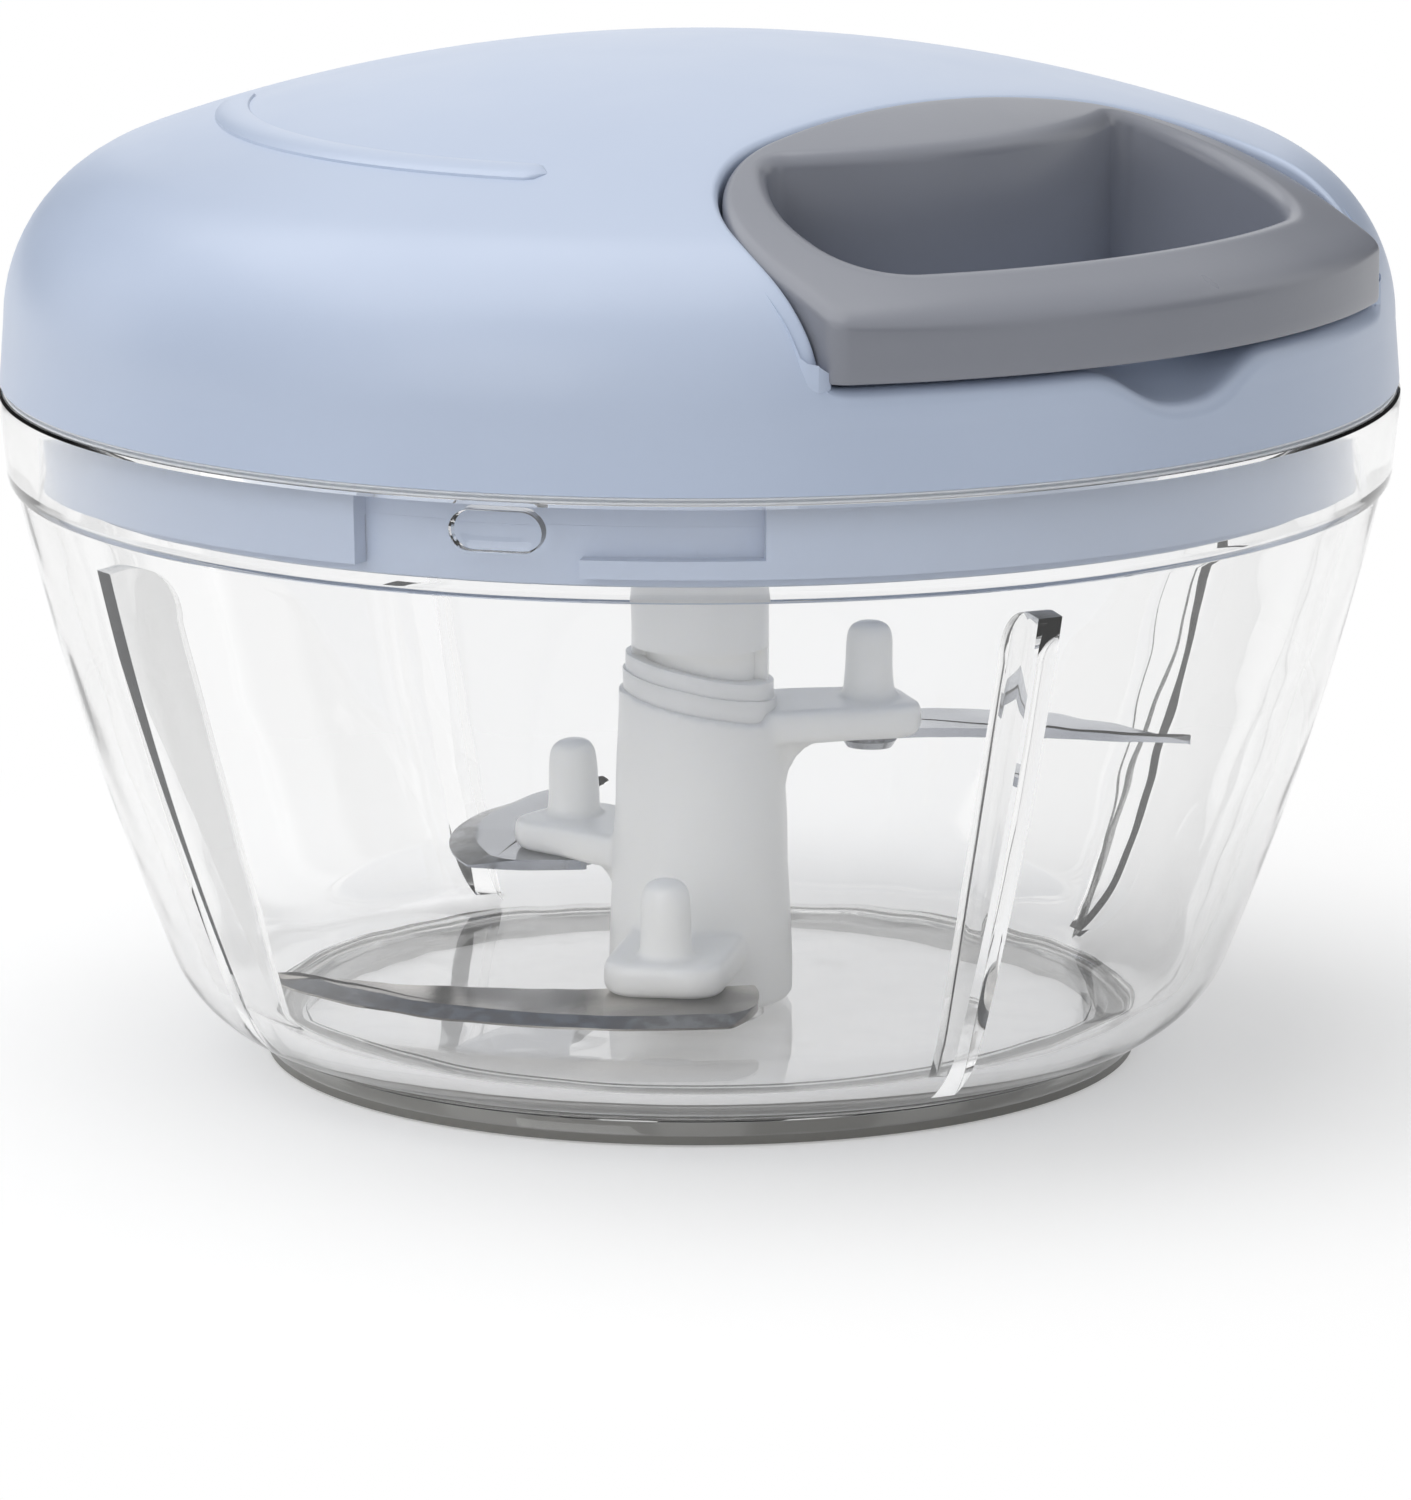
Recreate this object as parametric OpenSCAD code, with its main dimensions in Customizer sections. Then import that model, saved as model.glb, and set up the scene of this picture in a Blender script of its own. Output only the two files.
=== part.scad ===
// Pull-string food chopper with a clear bowl, a three-bladed rotor and a recoil reel in its lid.
// Millimetres. Origin at the middle of the underside, +Z up, the handle pulls toward -Y.

/* [Bowl] */
// Outer radius of the bowl at its rim
rim_r = 65; // [63:0.5:68]
// Height of the bowl rim above the table
bowl_h = 62.8; // [60:0.2:68]
// Outer radius of the foot
foot_r = 41; // [39:0.5:43]
// Thickness of the clear wall
wall = 2.4; // [2:0.1:2.8]
// Height of the inside floor
floor_z = 4.4; // [4:0.1:5]
// Depth of the rim band that takes the lid
band_h = 7.6; // [7:0.1:8.4]
// Thickness of the inside fins
fin_t = 2.4; // [1.8:0.1:3]
// Direction of the first fin, from -Y
fin_az = -12; // [-20:1:-4]

/* [Lid] */
// Thickness of the silicone seal
seal_t = 0.8; // [0.6:0.1:1.2]
// Rise of the dome above the lid edge
dome_rise = 30.6; // [29.8:0.2:32]
// Radius of the dome
dome_r = 156; // [148:2:170]
// Radius of the shoulder between dome and side
shoulder_r = 16.5; // [14:0.5:18]
// Thickness of the lid shell
shell = 2.4; // [2:0.1:2.8]
// Thickness of the bayonet skirt
skirt_t = 1.8; // [1.6:0.1:2.2]

/* [Handle] */
// Width of the pull handle
handle_w = 67.5; // [64:0.5:69]
// Distance from the axis to the rear of the handle
handle_rear = 29; // [28:0.1:30.5]
// Height of the handle underside above the lid edge
handle_lift = 9.4; // [9.2:0.1:10.4]
// Thickness of the front grip rim
grip_rim = 7; // [6:0.25:8.5]
// Thickness of the cord wall behind the fingers
cord_wall = 10.2; // [9.6:0.2:11.6]
// Radius of the handle crown
handle_bow = 134; // [126:2:146]
// How far the rear of the handle stands proud of the dome
proud = 0.4; // [0.2:0.1:0.8]
// Depth of the finger dish below the handle
dish_deep = 3.6; // [2.4:0.2:4.4]

/* [Reel] */
// Diameter of the pull cord
cord_d = 1.8; // [1.4:0.1:2]
// Radius of the cord reel
reel_r = 19; // [18:0.25:19.5]
// Space between neighbouring cord turns
turn_gap = 0.5; // [0.45:0.05:0.7]
// Turns of the recoil spring
spring_turns = 6; // [5:1:7]
// Thickness of the recoil spring strip
spring_t = 0.4; // [0.3:0.05:0.5]

/* [Rotor] */
// Radius of the rotor hub at its top
hub_r = 7.5; // [7.3:0.1:8]
// Height of the lower arm underside
arm_low_z = 8.9; // [8.4:0.1:9.6]
// Height of the middle arm underside
arm_mid_z = 16.3; // [15.6:0.1:17]
// Height of the upper arm underside
arm_top_z = 29; // [28.2:0.1:29.6]
// Thickness of an arm
arm_t = 3.2; // [2.8:0.1:3.6]
// Width of an arm
arm_w = 11.25; // [9:0.25:12]
// Radius from the axis to each blade pin
pin_ring = 16.5; // [16:0.1:17]
// Height of the round pegs on the arms
peg_h = 7.2; // [6:0.2:8]
// Thickness of a blade
blade_t = 0.9; // [0.7:0.1:1.1]
// Space between a blade tip and the fins
tip_gap = 2.6; // [2:0.1:4]

/* [Fits] */
// Radial play of a running shaft
run_fit = 0.05; // [0.03:0.01:0.08]
// Gap round the docked handle
dock_gap = 0.4; // [0.35:0.05:0.6]
// Gap beside a loose piece
loose = 0.3; // [0.3:0.05:0.5]

/* [Hidden] */
$fn = 96;
eps = 0.02;
far = 220;
under_z = floor_z - wall;
ring_t = 0.8;
band_z = bowl_h - band_h;
wall_low = [foot_r + 10.3, 14];
wall_top = [rim_r - 1.6, band_z - 1];
wall_bow = 280;
wall_span = norm(wall_top - wall_low);
wall_dir = (wall_top - wall_low) / wall_span;
wall_sag = sqrt(wall_bow * wall_bow - wall_span * wall_span / 4);
wall_c = (wall_top + wall_low) / 2 - wall_sag * [wall_dir[1], -wall_dir[0]];
band_in = wall_c[0] + sqrt(pow(wall_bow - wall, 2) - pow(band_z - wall_c[1], 2));
base_r = 12;
base_cz = under_z + base_r;
base_cr = wall_c[0] + sqrt(pow(wall_bow - base_r, 2) - pow(base_cz - wall_c[1], 2));
base_dir = ([base_cr, base_cz] - wall_c) / (wall_bow - base_r);
fin_low = foot_r + 1.3;
fin_top_z = band_z - 7;
fin_top_r = rim_r - 11;
fin_slope = (fin_top_r - fin_low) / (fin_top_z - floor_z);

lid_z = bowl_h + seal_t;
lid_top = lid_z + dome_rise;
dome_c = lid_top - dome_r;
side_r = rim_r - 0.7;
skirt_r = band_in - 0.5;
skirt_z = band_z + 0.8;
plate_z = lid_z - 3.6;
plate_t = 2;
plate_top = plate_z + plate_t;
screw_r = 50;
screw_az = [55, 125, -125, -55];
boss_r = 3.4;
screw_shank = 1.35;
screw_head = 2.8;
screw_len = 11;
head_t = 1.8;
cross_w = 0.7;
lug_az = -58.5;
lug_half = 4.15;
lug_h = 3.6;
lug_z = lid_z - 3.8;
lug_in = band_in - 1.8;
lug_span = asin(lug_half / lug_in);
lock_turn = 15;
tongue_h = 1.6;
slot_lead = 8.5;
slot_room = 2.8;
slot_a0 = lug_az - lug_span - slot_lead;
slot_a1 = lug_az + lug_span + slot_room;

handle_z = lid_z + handle_lift;
pocket_z = handle_z - dock_gap;
pocket_t = 1.6;
rear_bow = 160;
rear_cu = handle_rear + rear_bow;
corner_r = 17;
corner_v = handle_w / 2 - corner_r;
corner_u = rear_cu - sqrt(pow(rear_bow - corner_r, 2) - corner_v * corner_v);
handle_c = dome_c + sqrt(dome_r * dome_r - handle_rear * handle_rear) + proud
    - sqrt(handle_bow * handle_bow - handle_rear * handle_rear);
front_r = rim_r - 0.6;
front_fc = 2.5;
front_fv = handle_w / 2 - front_fc;
front_fu = sqrt(pow(front_r - front_fc, 2) - front_fv * front_fv);
grip_r = front_r - grip_rim;
grip_u = handle_rear + cord_wall;
grip_half = handle_w / 2 - 6.75;
grip_fc = 8;
grip_fv = grip_half - grip_fc;
grip_fu = sqrt(pow(grip_r - grip_fc, 2) - grip_fv * grip_fv);
grip_rc = 2.5;
grip_sr = 16;
grip_flat = 0.6;
grip_side = [grip_half - grip_sr, grip_flat - grip_fu];
grip_swing = acos(
    (pow(grip_u + grip_rc, 2) + grip_side * grip_side - pow(grip_sr - grip_rc, 2))
    / (2 * (grip_u + grip_rc) * norm(grip_side))
);
grip_ra = atan2(grip_side[1], grip_side[0]) + grip_swing;
cord_z = handle_z + 5;
pocket_u = handle_rear - dock_gap;
eye_u = pocket_u - pocket_t;
eye_flange = 0.8;
bend_u = eye_u - eye_flange - 0.4;
cord_bore = cord_d / 2 + 0.35;
knot_r = 2.3;
chamber_r = knot_r + 0.7;
chamber_u = handle_rear + cord_wall - chamber_r - 1.4;
knot_u = chamber_u - chamber_r + knot_r + 0.1;
plug_t = 1.2;
eye_r = 2.35;
dish_half = 9.5;
dish_r = (dish_half * dish_half + dish_deep * dish_deep) / (2 * dish_deep);
dish_z = pocket_z - dish_deep + dish_r;
dish_wall = 1.6;

reel_core = 8.6;
reel_gap = cord_d + 0.8;
reel_flange = 1.3;
reel_z0 = cord_z - 4;
reel_z1 = cord_z + 4;
hex_r = 5.6;
clip_seat = 4;
clip_r = 6.4;
clip_gap = 3.2;
clip_t = 0.9;
hole_ring = 13.8;
hole_r = 2.6;
pitch = cord_d + turn_gap;
wind_r0 = reel_core + cord_d / 2 + 0.1;
wind_r1 = reel_r - cord_d / 2 - 0.6;
wind_turns = (wind_r1 - wind_r0) / pitch;
leave_az = -90 - acos(wind_r1 / bend_u);
wind_steps = 26;
cord_sides = 8;

stem_r = 6.4;
pilot_r = 5.2;
hub_z = floor_z + loose;
hub_top = arm_top_z + 4.2;
crown_mid = hub_top + 2.9;
crown_r = hub_r - 0.6;
crown_tilt = 12;
crown_az = 138;
stem_z = crown_mid + crown_r * tan(crown_tilt) + 0.6;
pilot_z = arm_top_z + 1;
key_z = pilot_z + 2.2;
key_half = 12;
drive_play = 1.5;
turn_play = lock_turn + 1.5;
bush_r = 8;
case_r = 24;
case_t = 1.4;
case_floor = 1.2;
cover_t = 1.2;
case_top = handle_z - dock_gap - pocket_t - 0.6;
arbor_r = 7.6;
arbor_z = plate_top + case_floor + loose;
spring_z0 = arbor_z + 0.2;
spring_z1 = case_top - cover_t - 0.6;
spring_r0 = arbor_r + 0.8;
spring_r1 = case_r - case_t - 1.2;
spring_steps = 24;
journal_r = 3;
journal_z = lid_top - 4.4;

pin_r = 2.5;
pin_top = 13;
peg_r = 2.3;
peg_round = 1.3;
arm_end = pin_ring + 4.2;
arm_az = [-143, 95, -27];
arm_z = [arm_low_z, arm_mid_z, arm_top_z];
head_az = [127.5, 43, -51];
rivet_r = 1.4;
blade_root = [9, 7, 7];
blade_peak = 12.5;
blade_peak_x = 7;
bevel_w = 2.2;

function on_ring(r, a) = [r * cos(a), r * sin(a)];
function fin_in(z) = fin_low + fin_slope * (z - floor_z);
function pin_at(i) = on_ring(pin_ring, arm_az[i]);
function along(i) = pin_at(i) * on_ring(1, head_az[i]);
function tip_r(i) = fin_in(arm_z[i]) - tip_gap;
function blade_len(i) = sqrt(pow(along(i), 2) - pow(pin_ring, 2) + pow(tip_r(i), 2)) - along(i);
function edge_r(i) = (pow(blade_len(i) - blade_peak_x, 2) + pow(blade_peak, 2)) / (2 * blade_peak);
function arc(c, r, a0, a1, n) = [for (k = [0:n]) c + on_ring(r, a0 + (a1 - a0) * k / n)];
function bend(c, r, a0, a1, n) = [for (k = [1:n - 1]) c + on_ring(r, a0 + (a1 - a0) * k / n)];
function mirrored(list) = [for (k = [len(list) - 1:-1:0]) [-list[k][0], list[k][1]]];
function rear_line(grow) = let (lean = atan2(rear_cu - corner_u, corner_v)) concat(
    arc([corner_v, -corner_u], corner_r + grow, 0, lean, 10),
    bend([0, -rear_cu], rear_bow + grow, lean, 180 - lean, 12),
    arc([-corner_v, -corner_u], corner_r + grow, 180 - lean, 180, 10)
);
function wind_at(k, n) = wind_r0 + (wind_r1 - wind_r0) * k / n;
function wind_turn(k, n) = leave_az - 360 * wind_turns * (1 - k / n);
function wind_point(k, n) = on_ring(wind_at(k, n), wind_turn(k, n));
function wind_gap(n) = min([
    for (k = [0:n]) for (m = [k + wind_steps / 2:n]) norm(wind_point(k, n) - wind_point(m, n))
]) - cord_d;

// Straight-sided wedge that spans two directions about the axis
module wedge(a0, a1, z0, z1) {
    mid = (a0 + a1) / 2;
    translate([0, 0, z0])
        linear_extrude(z1 - z0)
            polygon([[0, 0], on_ring(far, a0), on_ring(far, mid), on_ring(far, a1)]);
}

module ring(r_in, r_out, z0, z1) {
    difference() {
        translate([0, 0, z0]) cylinder(r = r_out, h = z1 - z0);
        translate([0, 0, z0 - 1]) cylinder(r = r_in, h = z1 - z0 + 2);
    }
}

// Round rod that lies along -Y between two distances from the axis
module rod(r, u0, u1, z) {
    translate([0, -u0, z]) rotate([90, 0, 0]) cylinder(r = r, h = u1 - u0);
}

// Half section of the bowl body up to a top height, moved inward by a wall thickness
module bowl_section(inset, top) {
    tangent = wall_c + (wall_bow - inset) * base_dir;
    intersection() {
        translate(wall_c) circle(r = wall_bow - inset, $fn = 360);
        translate([0, tangent[1]]) square([far, top - tangent[1]]);
        square([far, far]);
    }
    translate([0, under_z + inset]) square([base_cr, tangent[1] - under_z - inset + eps]);
    difference() {
        translate([base_cr, base_cz]) circle(r = base_r - inset);
        translate([0, tangent[1]]) square([far, far]);
    }
}

module bowl_shell() {
    rotate_extrude($fn = 180) {
        difference() {
            bowl_section(0, band_z);
            bowl_section(wall, band_z + 1);
        }
        polygon([
            [band_in, band_z - 1.2],
            [wall_top[0], band_z - 1.2],
            [rim_r - 0.8, band_z - 0.4],
            [rim_r, bowl_h],
            [band_in, bowl_h]
        ]);
        polygon([
            [foot_r - 4, ring_t],
            [foot_r, ring_t],
            [foot_r + 0.6, under_z + 1],
            [foot_r - 4, under_z + 1]
        ]);
        translate([0, ring_t]) square([6, under_z]);
    }
}

module fin() {
    rotate([90, 0, 0])
        translate([0, 0, -fin_t / 2])
            linear_extrude(fin_t)
                intersection() {
                    bowl_section(wall / 2, band_z);
                    polygon([
                        [fin_low - 0.2, floor_z - 0.5],
                        [fin_top_r - 0.6, fin_top_z - 3],
                        [fin_top_r + 0.6, fin_top_z],
                        [fin_top_r + 2.6, fin_top_z + 2],
                        [fin_top_r + 5, fin_top_z + 3],
                        [rim_r, fin_top_z + 3.4],
                        [rim_r, floor_z - 0.5]
                    ]);
                }
}

// Lock lug with round ends that stands inward from the rim band
module lug() {
    rotate([0, 90, 0])
        translate([0, 0, lug_in]) {
            side = lug_half - lug_h / 2;
            translate([0, side, 0]) cylinder(r = lug_h / 2, h = band_in - lug_in + 1);
            translate([0, -side, 0]) cylinder(r = lug_h / 2, h = band_in - lug_in + 1);
            translate([-lug_h / 2, -side, 0]) cube([lug_h, 2 * side, band_in - lug_in + 1]);
        }
}

module bowl() {
    color([0.86, 0.9, 0.93, 0.4])
        difference() {
            union() {
                bowl_shell();
                for (k = [0:3]) rotate(fin_az - 90 + 90 * k) fin();
                for (k = [0:2]) rotate(lug_az - 90 + 120 * k) translate([0, 0, lug_z]) lug();
            }
            ring(foot_r - 2.6, foot_r - 1, -1, under_z + 0.2);
            translate([0, 0, ring_t + 0.6]) cylinder(r = pin_r + 0.02, h = far);
        }
}

module foot_ring() {
    color([0.7, 0.73, 0.76])
        union() {
            ring(foot_r - 2.56, foot_r - 1.04, 0, under_z + 0.15);
            ring(foot_r - 3.4, foot_r - 0.3, 0, ring_t - eps);
        }
}

module pivot_pin() {
    color([0.75, 0.76, 0.78])
        union() {
            translate([0, 0, ring_t + 0.65]) cylinder(r = pin_r, h = pin_top - ring_t - 1.65);
            translate([0, 0, pin_top - 1]) cylinder(r1 = pin_r, r2 = pin_r - 1, h = 1);
        }
}

module seal_ring() {
    color([0.95, 0.96, 0.97])
        ring(band_in + 0.2, rim_r - 0.5, bowl_h, lid_z);
}

// Half section of a dome with a rounded shoulder
module dome_section(r, centre, side, round, z0) {
    cr = side - round;
    cz = centre + sqrt(pow(r - round, 2) - cr * cr);
    tangent = [cr, cz - centre] * r / (r - round) + [0, centre];
    intersection() {
        union() {
            intersection() {
                translate([0, centre]) circle(r = r, $fn = 360);
                translate([0, z0]) square([tangent[0], far]);
            }
            translate([cr, cz]) circle(r = round);
            polygon([
                [0, z0],
                [side + (cz - z0) * 0.7 / 9, z0],
                [side, cz],
                tangent,
                [0, tangent[1]]
            ]);
        }
        translate([0, z0]) square([far, far]);
    }
}

module dome(inset) {
    rotate_extrude($fn = 180)
        dome_section(dome_r - inset, dome_c, side_r - inset, shoulder_r - inset, lid_z);
}

// Plan of the handle, grown by a margin and open toward the front
module handle_plan(grow) {
    half = handle_w / 2 + grow;
    polygon(concat([[half, -far]], rear_line(grow), [[-half, -far]]));
}

// Plan of the handle with its rounded front corners
module handle_outline() {
    lean = atan2(-front_fu, front_fv);
    polygon(concat(
        rear_line(0),
        arc([-front_fv, -front_fu], front_fc, 180, 180 - lean, 6),
        bend([0, 0], front_r, 180 - lean, 360 + lean, 24),
        arc([front_fv, -front_fu], front_fc, 360 + lean, 360, 6)
    ));
}

// Plan of the finger opening, whose rear wall is round about the axis
module grip_plan() {
    corner = on_ring(grip_u + grip_rc, grip_ra);
    turn = atan2(corner[1] - grip_side[1], corner[0] - grip_side[0]);
    lean = atan2(-grip_fu, grip_fv);
    flank = concat(
        bend(corner, grip_rc, grip_ra + 180, turn, 6),
        arc(grip_side, grip_sr, turn, 0, 10),
        arc([grip_fv, -grip_fu], grip_fc, 0, lean, 8)
    );
    polygon(concat(
        arc([0, 0], grip_u, -180 - grip_ra, grip_ra, 16),
        flank,
        bend([0, 0], grip_r, lean, -180 - lean, 12),
        mirrored(flank)
    ));
}

// Plan of the plain raised arc that decorates the dome
module ridge_plan() {
    a0 = -232;
    a1 = -150;
    mid_r = 43;
    half = 1.6;
    polygon(concat(
        arc([0, 0], mid_r + half, a0, a1, 24),
        bend(on_ring(mid_r, a1), half, a1, a1 + 180, 8),
        arc([0, 0], mid_r - half, a1, a0, 24),
        bend(on_ring(mid_r, a0), half, a0 + 180, a0 + 360, 8)
    ));
}

module lid_bosses() {
    for (a = screw_az)
        rotate(a - 90) translate([screw_r, 0, plate_top]) cylinder(r = boss_r, h = dome_rise);
    translate([0, 0, journal_z - 3]) cylinder(r = 6.2, h = 8);
}

module lid_holes() {
    for (a = screw_az)
        rotate(a - 90) translate([screw_r, 0, plate_top - 1]) cylinder(r = screw_shank + 0.05, h = screw_len);
    translate([0, 0, journal_z - 4]) cylinder(r = journal_r + run_fit, h = 4.4);
    translate([0, 0, pocket_z])
        linear_extrude(far) handle_plan(dock_gap);
    rod(eye_r + 0.05, 0, grip_u, cord_z);
    rod(dish_r, side_r - 8, side_r + 12, dish_z);
}

module lid_cover() {
    color([0.72, 0.79, 0.88])
        difference() {
            union() {
                difference() {
                    union() {
                        dome(0);
                        intersection() {
                            dome(-0.5);
                            translate([0, 0, lid_z]) linear_extrude(far) ridge_plan();
                        }
                    }
                    translate([0, 0, -eps]) dome(shell);
                }
                intersection() {
                    dome(eps);
                    union() {
                        lid_bosses();
                        translate([0, 0, pocket_z - pocket_t])
                            linear_extrude(far) handle_plan(dock_gap + pocket_t);
                        rod(dish_r + dish_wall, side_r - 8 - dish_wall, side_r + 10, dish_z);
                    }
                }
            }
            lid_holes();
        }
}

module bayonet_slot() {
    ring_in = skirt_r - skirt_t - 0.2;
    intersection() {
        ring(ring_in, skirt_r + 3, skirt_z - 1, lid_z - 1.4);
        union() {
            wedge(slot_a0, slot_a1, skirt_z - 2, lid_z);
            wedge(slot_a0, slot_a1 + lock_turn, skirt_z + tongue_h, lid_z);
        }
    }
}

module lid_base() {
    color([0.7, 0.77, 0.86])
        difference() {
            union() {
                translate([0, 0, plate_z]) cylinder(r = skirt_r, h = plate_t, $fn = 180);
                ring(skirt_r - skirt_t, skirt_r, skirt_z, lid_z + 2);
                ring(skirt_r - skirt_t, side_r - shell - loose, lid_z, lid_z + 2);
                translate([0, 0, plate_z - 2.4]) cylinder(r = 10.5, h = 3);
                ring(case_r + 0.2, case_r + 1.8, plate_top - 0.5, plate_top + 2);
                for (k = [0:7]) rotate(22.5 + 45 * k)
                    translate([10, -0.8, plate_z - 1.6]) cube([skirt_r - 11, 1.6, 2]);
            }
            translate([0, 0, plate_z - 5]) cylinder(r = bush_r + 0.03, h = 12);
            for (a = screw_az)
                rotate(a - 90) translate([screw_r, 0, plate_z - 4]) cylinder(r = screw_shank + 0.25, h = 10);
            for (k = [0:2]) rotate(-90 + 120 * k) bayonet_slot();
        }
}

module base_screws() {
    color([0.68, 0.69, 0.71])
        for (a = screw_az)
            rotate(a - 90) translate([screw_r, 0, plate_z - head_t])
                difference() {
                    union() {
                        cylinder(r = screw_head, h = head_t, $fn = 48);
                        cylinder(r = screw_shank, h = screw_len, $fn = 48);
                    }
                    for (t = [0, 90]) rotate(t)
                        translate([1 - screw_head, -cross_w / 2, -1])
                            cube([2 * screw_head - 2, cross_w, head_t + 0.1]);
                }
}

module shaft_bush() {
    color([0.93, 0.92, 0.88])
        difference() {
            union() {
                translate([0, 0, plate_z - 2.2]) cylinder(r = bush_r, h = plate_t + 2.4);
                translate([0, 0, plate_top]) cylinder(r = bush_r + 2, h = case_floor);
            }
            translate([0, 0, plate_z - 5]) cylinder(r = stem_r + run_fit, h = 14);
        }
}

module spring_case() {
    color([0.88, 0.88, 0.86])
        difference() {
            union() {
                ring(case_r - case_t, case_r, plate_top, case_top - cover_t);
                ring(bush_r + 2.3, case_r, plate_top, plate_top + case_floor);
            }
            translate([spring_r1 - 0.2, -0.6, spring_z0 - 0.3]) cube([3.2, 1.2, far]);
        }
}

module spring_cover() {
    color([0.86, 0.86, 0.84])
        ring(arbor_r - 0.1, case_r, case_top - cover_t, case_top);
}

module recoil_spring() {
    n = spring_turns * spring_steps;
    step = (spring_r1 - spring_r0) / n;
    turn = 360 / spring_steps;
    out = [for (k = [0:n]) on_ring(spring_r0 + step * k + spring_t / 2, turn * k)];
    back = [for (k = [n:-1:0]) on_ring(spring_r0 + step * k - spring_t / 2, turn * k)];
    color([0.62, 0.64, 0.67])
        translate([0, 0, spring_z0])
            linear_extrude(spring_z1 - spring_z0) {
                polygon(concat(out, back));
                translate([spring_r0 - 2, -spring_t / 2]) square([2, spring_t]);
                translate([spring_r1, -spring_t / 2]) square([1.9, spring_t]);
            }
}

module cord_eyelet() {
    color([0.8, 0.81, 0.83])
        difference() {
            union() {
                rod(eye_r, eye_u, pocket_u - 0.1, cord_z);
                rod(eye_r + 1.25, eye_u - eye_flange, eye_u, cord_z);
            }
            rod(cord_bore, eye_u - 3, pocket_u + 3, cord_z);
        }
}

module cord_lead() {
    run = sqrt(bend_u * bend_u - wind_r1 * wind_r1) - 0.6;
    color([0.93, 0.93, 0.91])
        union() {
            rod(cord_d / 2, bend_u, knot_u - knot_r - 0.05, cord_z);
            translate([0, -bend_u, cord_z]) sphere(d = cord_d, $fn = 32);
            translate([0, -bend_u, cord_z])
                rotate(leave_az - 90) rotate([0, 90, 0]) cylinder(d = cord_d, h = run);
        }
}

module drive_shaft() {
    color([0.94, 0.94, 0.92])
        difference() {
            union() {
                translate([0, 0, pilot_z]) cylinder(r = pilot_r, h = stem_z - pilot_z + 1);
                intersection() {
                    translate([0, 0, key_z]) cylinder(r = stem_r, h = stem_z - key_z + 1);
                    for (a = [0, 180])
                        wedge(crown_az + a - key_half, crown_az + a + key_half, 0, far);
                }
                translate([0, 0, stem_z]) cylinder(r = stem_r, h = arbor_z - stem_z);
                translate([0, 0, arbor_z]) cylinder(r = arbor_r, h = case_top - cover_t - arbor_z - loose);
                translate([0, 0, arbor_z]) cylinder(r = arbor_r - 0.6, h = reel_z0 - arbor_z);
                translate([0, 0, reel_z0]) cylinder(r = hex_r, h = reel_z1 - reel_z0, $fn = 6);
                translate([0, 0, reel_z1 - 1]) cylinder(r = clip_seat, h = 2.2);
                translate([0, 0, reel_z1]) cylinder(r = journal_r, h = journal_z - reel_z1);
            }
            translate([spring_r0 - 2.4, -0.5, spring_z0 - 0.3]) cube([3, 1, spring_z1 - spring_z0 + 0.6]);
        }
}

module cord_reel() {
    color([0.9, 0.9, 0.88])
        difference() {
            union() {
                translate([0, 0, reel_z0 + 0.02]) cylinder(r = reel_core, h = reel_z1 - reel_z0 - 0.02);
                for (z = [-reel_gap / 2 - reel_flange, reel_gap / 2])
                    translate([0, 0, cord_z + z]) cylinder(r = reel_r, h = reel_flange);
            }
            translate([0, 0, reel_z0 - 1]) cylinder(r = hex_r + 0.1, h = 12, $fn = 6);
            for (k = [0:5]) rotate(60 * k + 30)
                translate([hole_ring, 0, reel_z0 - 1]) cylinder(r = hole_r, h = 12, $fn = 48);
        }
}

module reel_clip() {
    color([0.5, 0.51, 0.53])
        difference() {
            ring(clip_seat + 0.04, clip_r, reel_z1 + 0.02, reel_z1 + clip_t);
            translate([0, -clip_gap / 2, reel_z1 - 1]) cube([clip_r + 1, clip_gap, 3]);
        }
}

// Round cord wound as a flat spiral between the reel flanges
module pull_cord() {
    n = ceil(wind_turns * wind_steps);
    echo(str("least gap between cord turns, mm: ", wind_gap(n)));
    pts = [
        for (k = [0:n])
            let (r = wind_at(k, n), a = wind_turn(k, n))
                for (j = [0:cord_sides - 1])
                    let (q = 360 * j / cord_sides, s = r + cord_d / 2 * cos(q))
                        [s * cos(a), s * sin(a), cord_z + cord_d / 2 * sin(q)]
    ];
    skin = [
        for (k = [0:n - 1])
            for (j = [0:cord_sides - 1])
                let (i = (j + 1) % cord_sides, b = k * cord_sides)
                    [b + j, b + i, b + cord_sides + i, b + cord_sides + j]
    ];
    ends = [
        [for (j = [cord_sides - 1:-1:0]) j],
        [for (j = [0:cord_sides - 1]) n * cord_sides + j]
    ];
    color([0.93, 0.93, 0.91]) polyhedron(pts, concat(skin, ends), convexity = 8);
}

module pull_handle() {
    color([0.55, 0.55, 0.56])
        difference() {
            intersection() {
                translate([0, 0, handle_z]) linear_extrude(far) handle_outline();
                rotate_extrude($fn = 180)
                    dome_section(handle_bow, handle_c, front_r, 3, handle_z - 1);
            }
            translate([0, 0, handle_z - 1]) linear_extrude(far) grip_plan();
            rod(cord_bore, 0, chamber_u, cord_z);
            translate([0, -chamber_u, handle_z - 1])
                cylinder(r = chamber_r, h = cord_z - handle_z + knot_r + 1.5);
        }
}

module knot_plug() {
    color([0.5, 0.5, 0.52])
        translate([0, -chamber_u, handle_z]) cylinder(r = chamber_r - 0.05, h = plug_t);
}

module cord_knot() {
    color([0.93, 0.93, 0.91])
        translate([0, -knot_u, cord_z]) sphere(r = knot_r, $fn = 48);
}

// Space above a plane that leans across the hub
module above_slope(z) {
    translate([0, 0, z]) rotate(crown_az) rotate([0, -crown_tilt, 0])
        translate([-20, -20, 0]) cube([40, 40, 40]);
}

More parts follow.
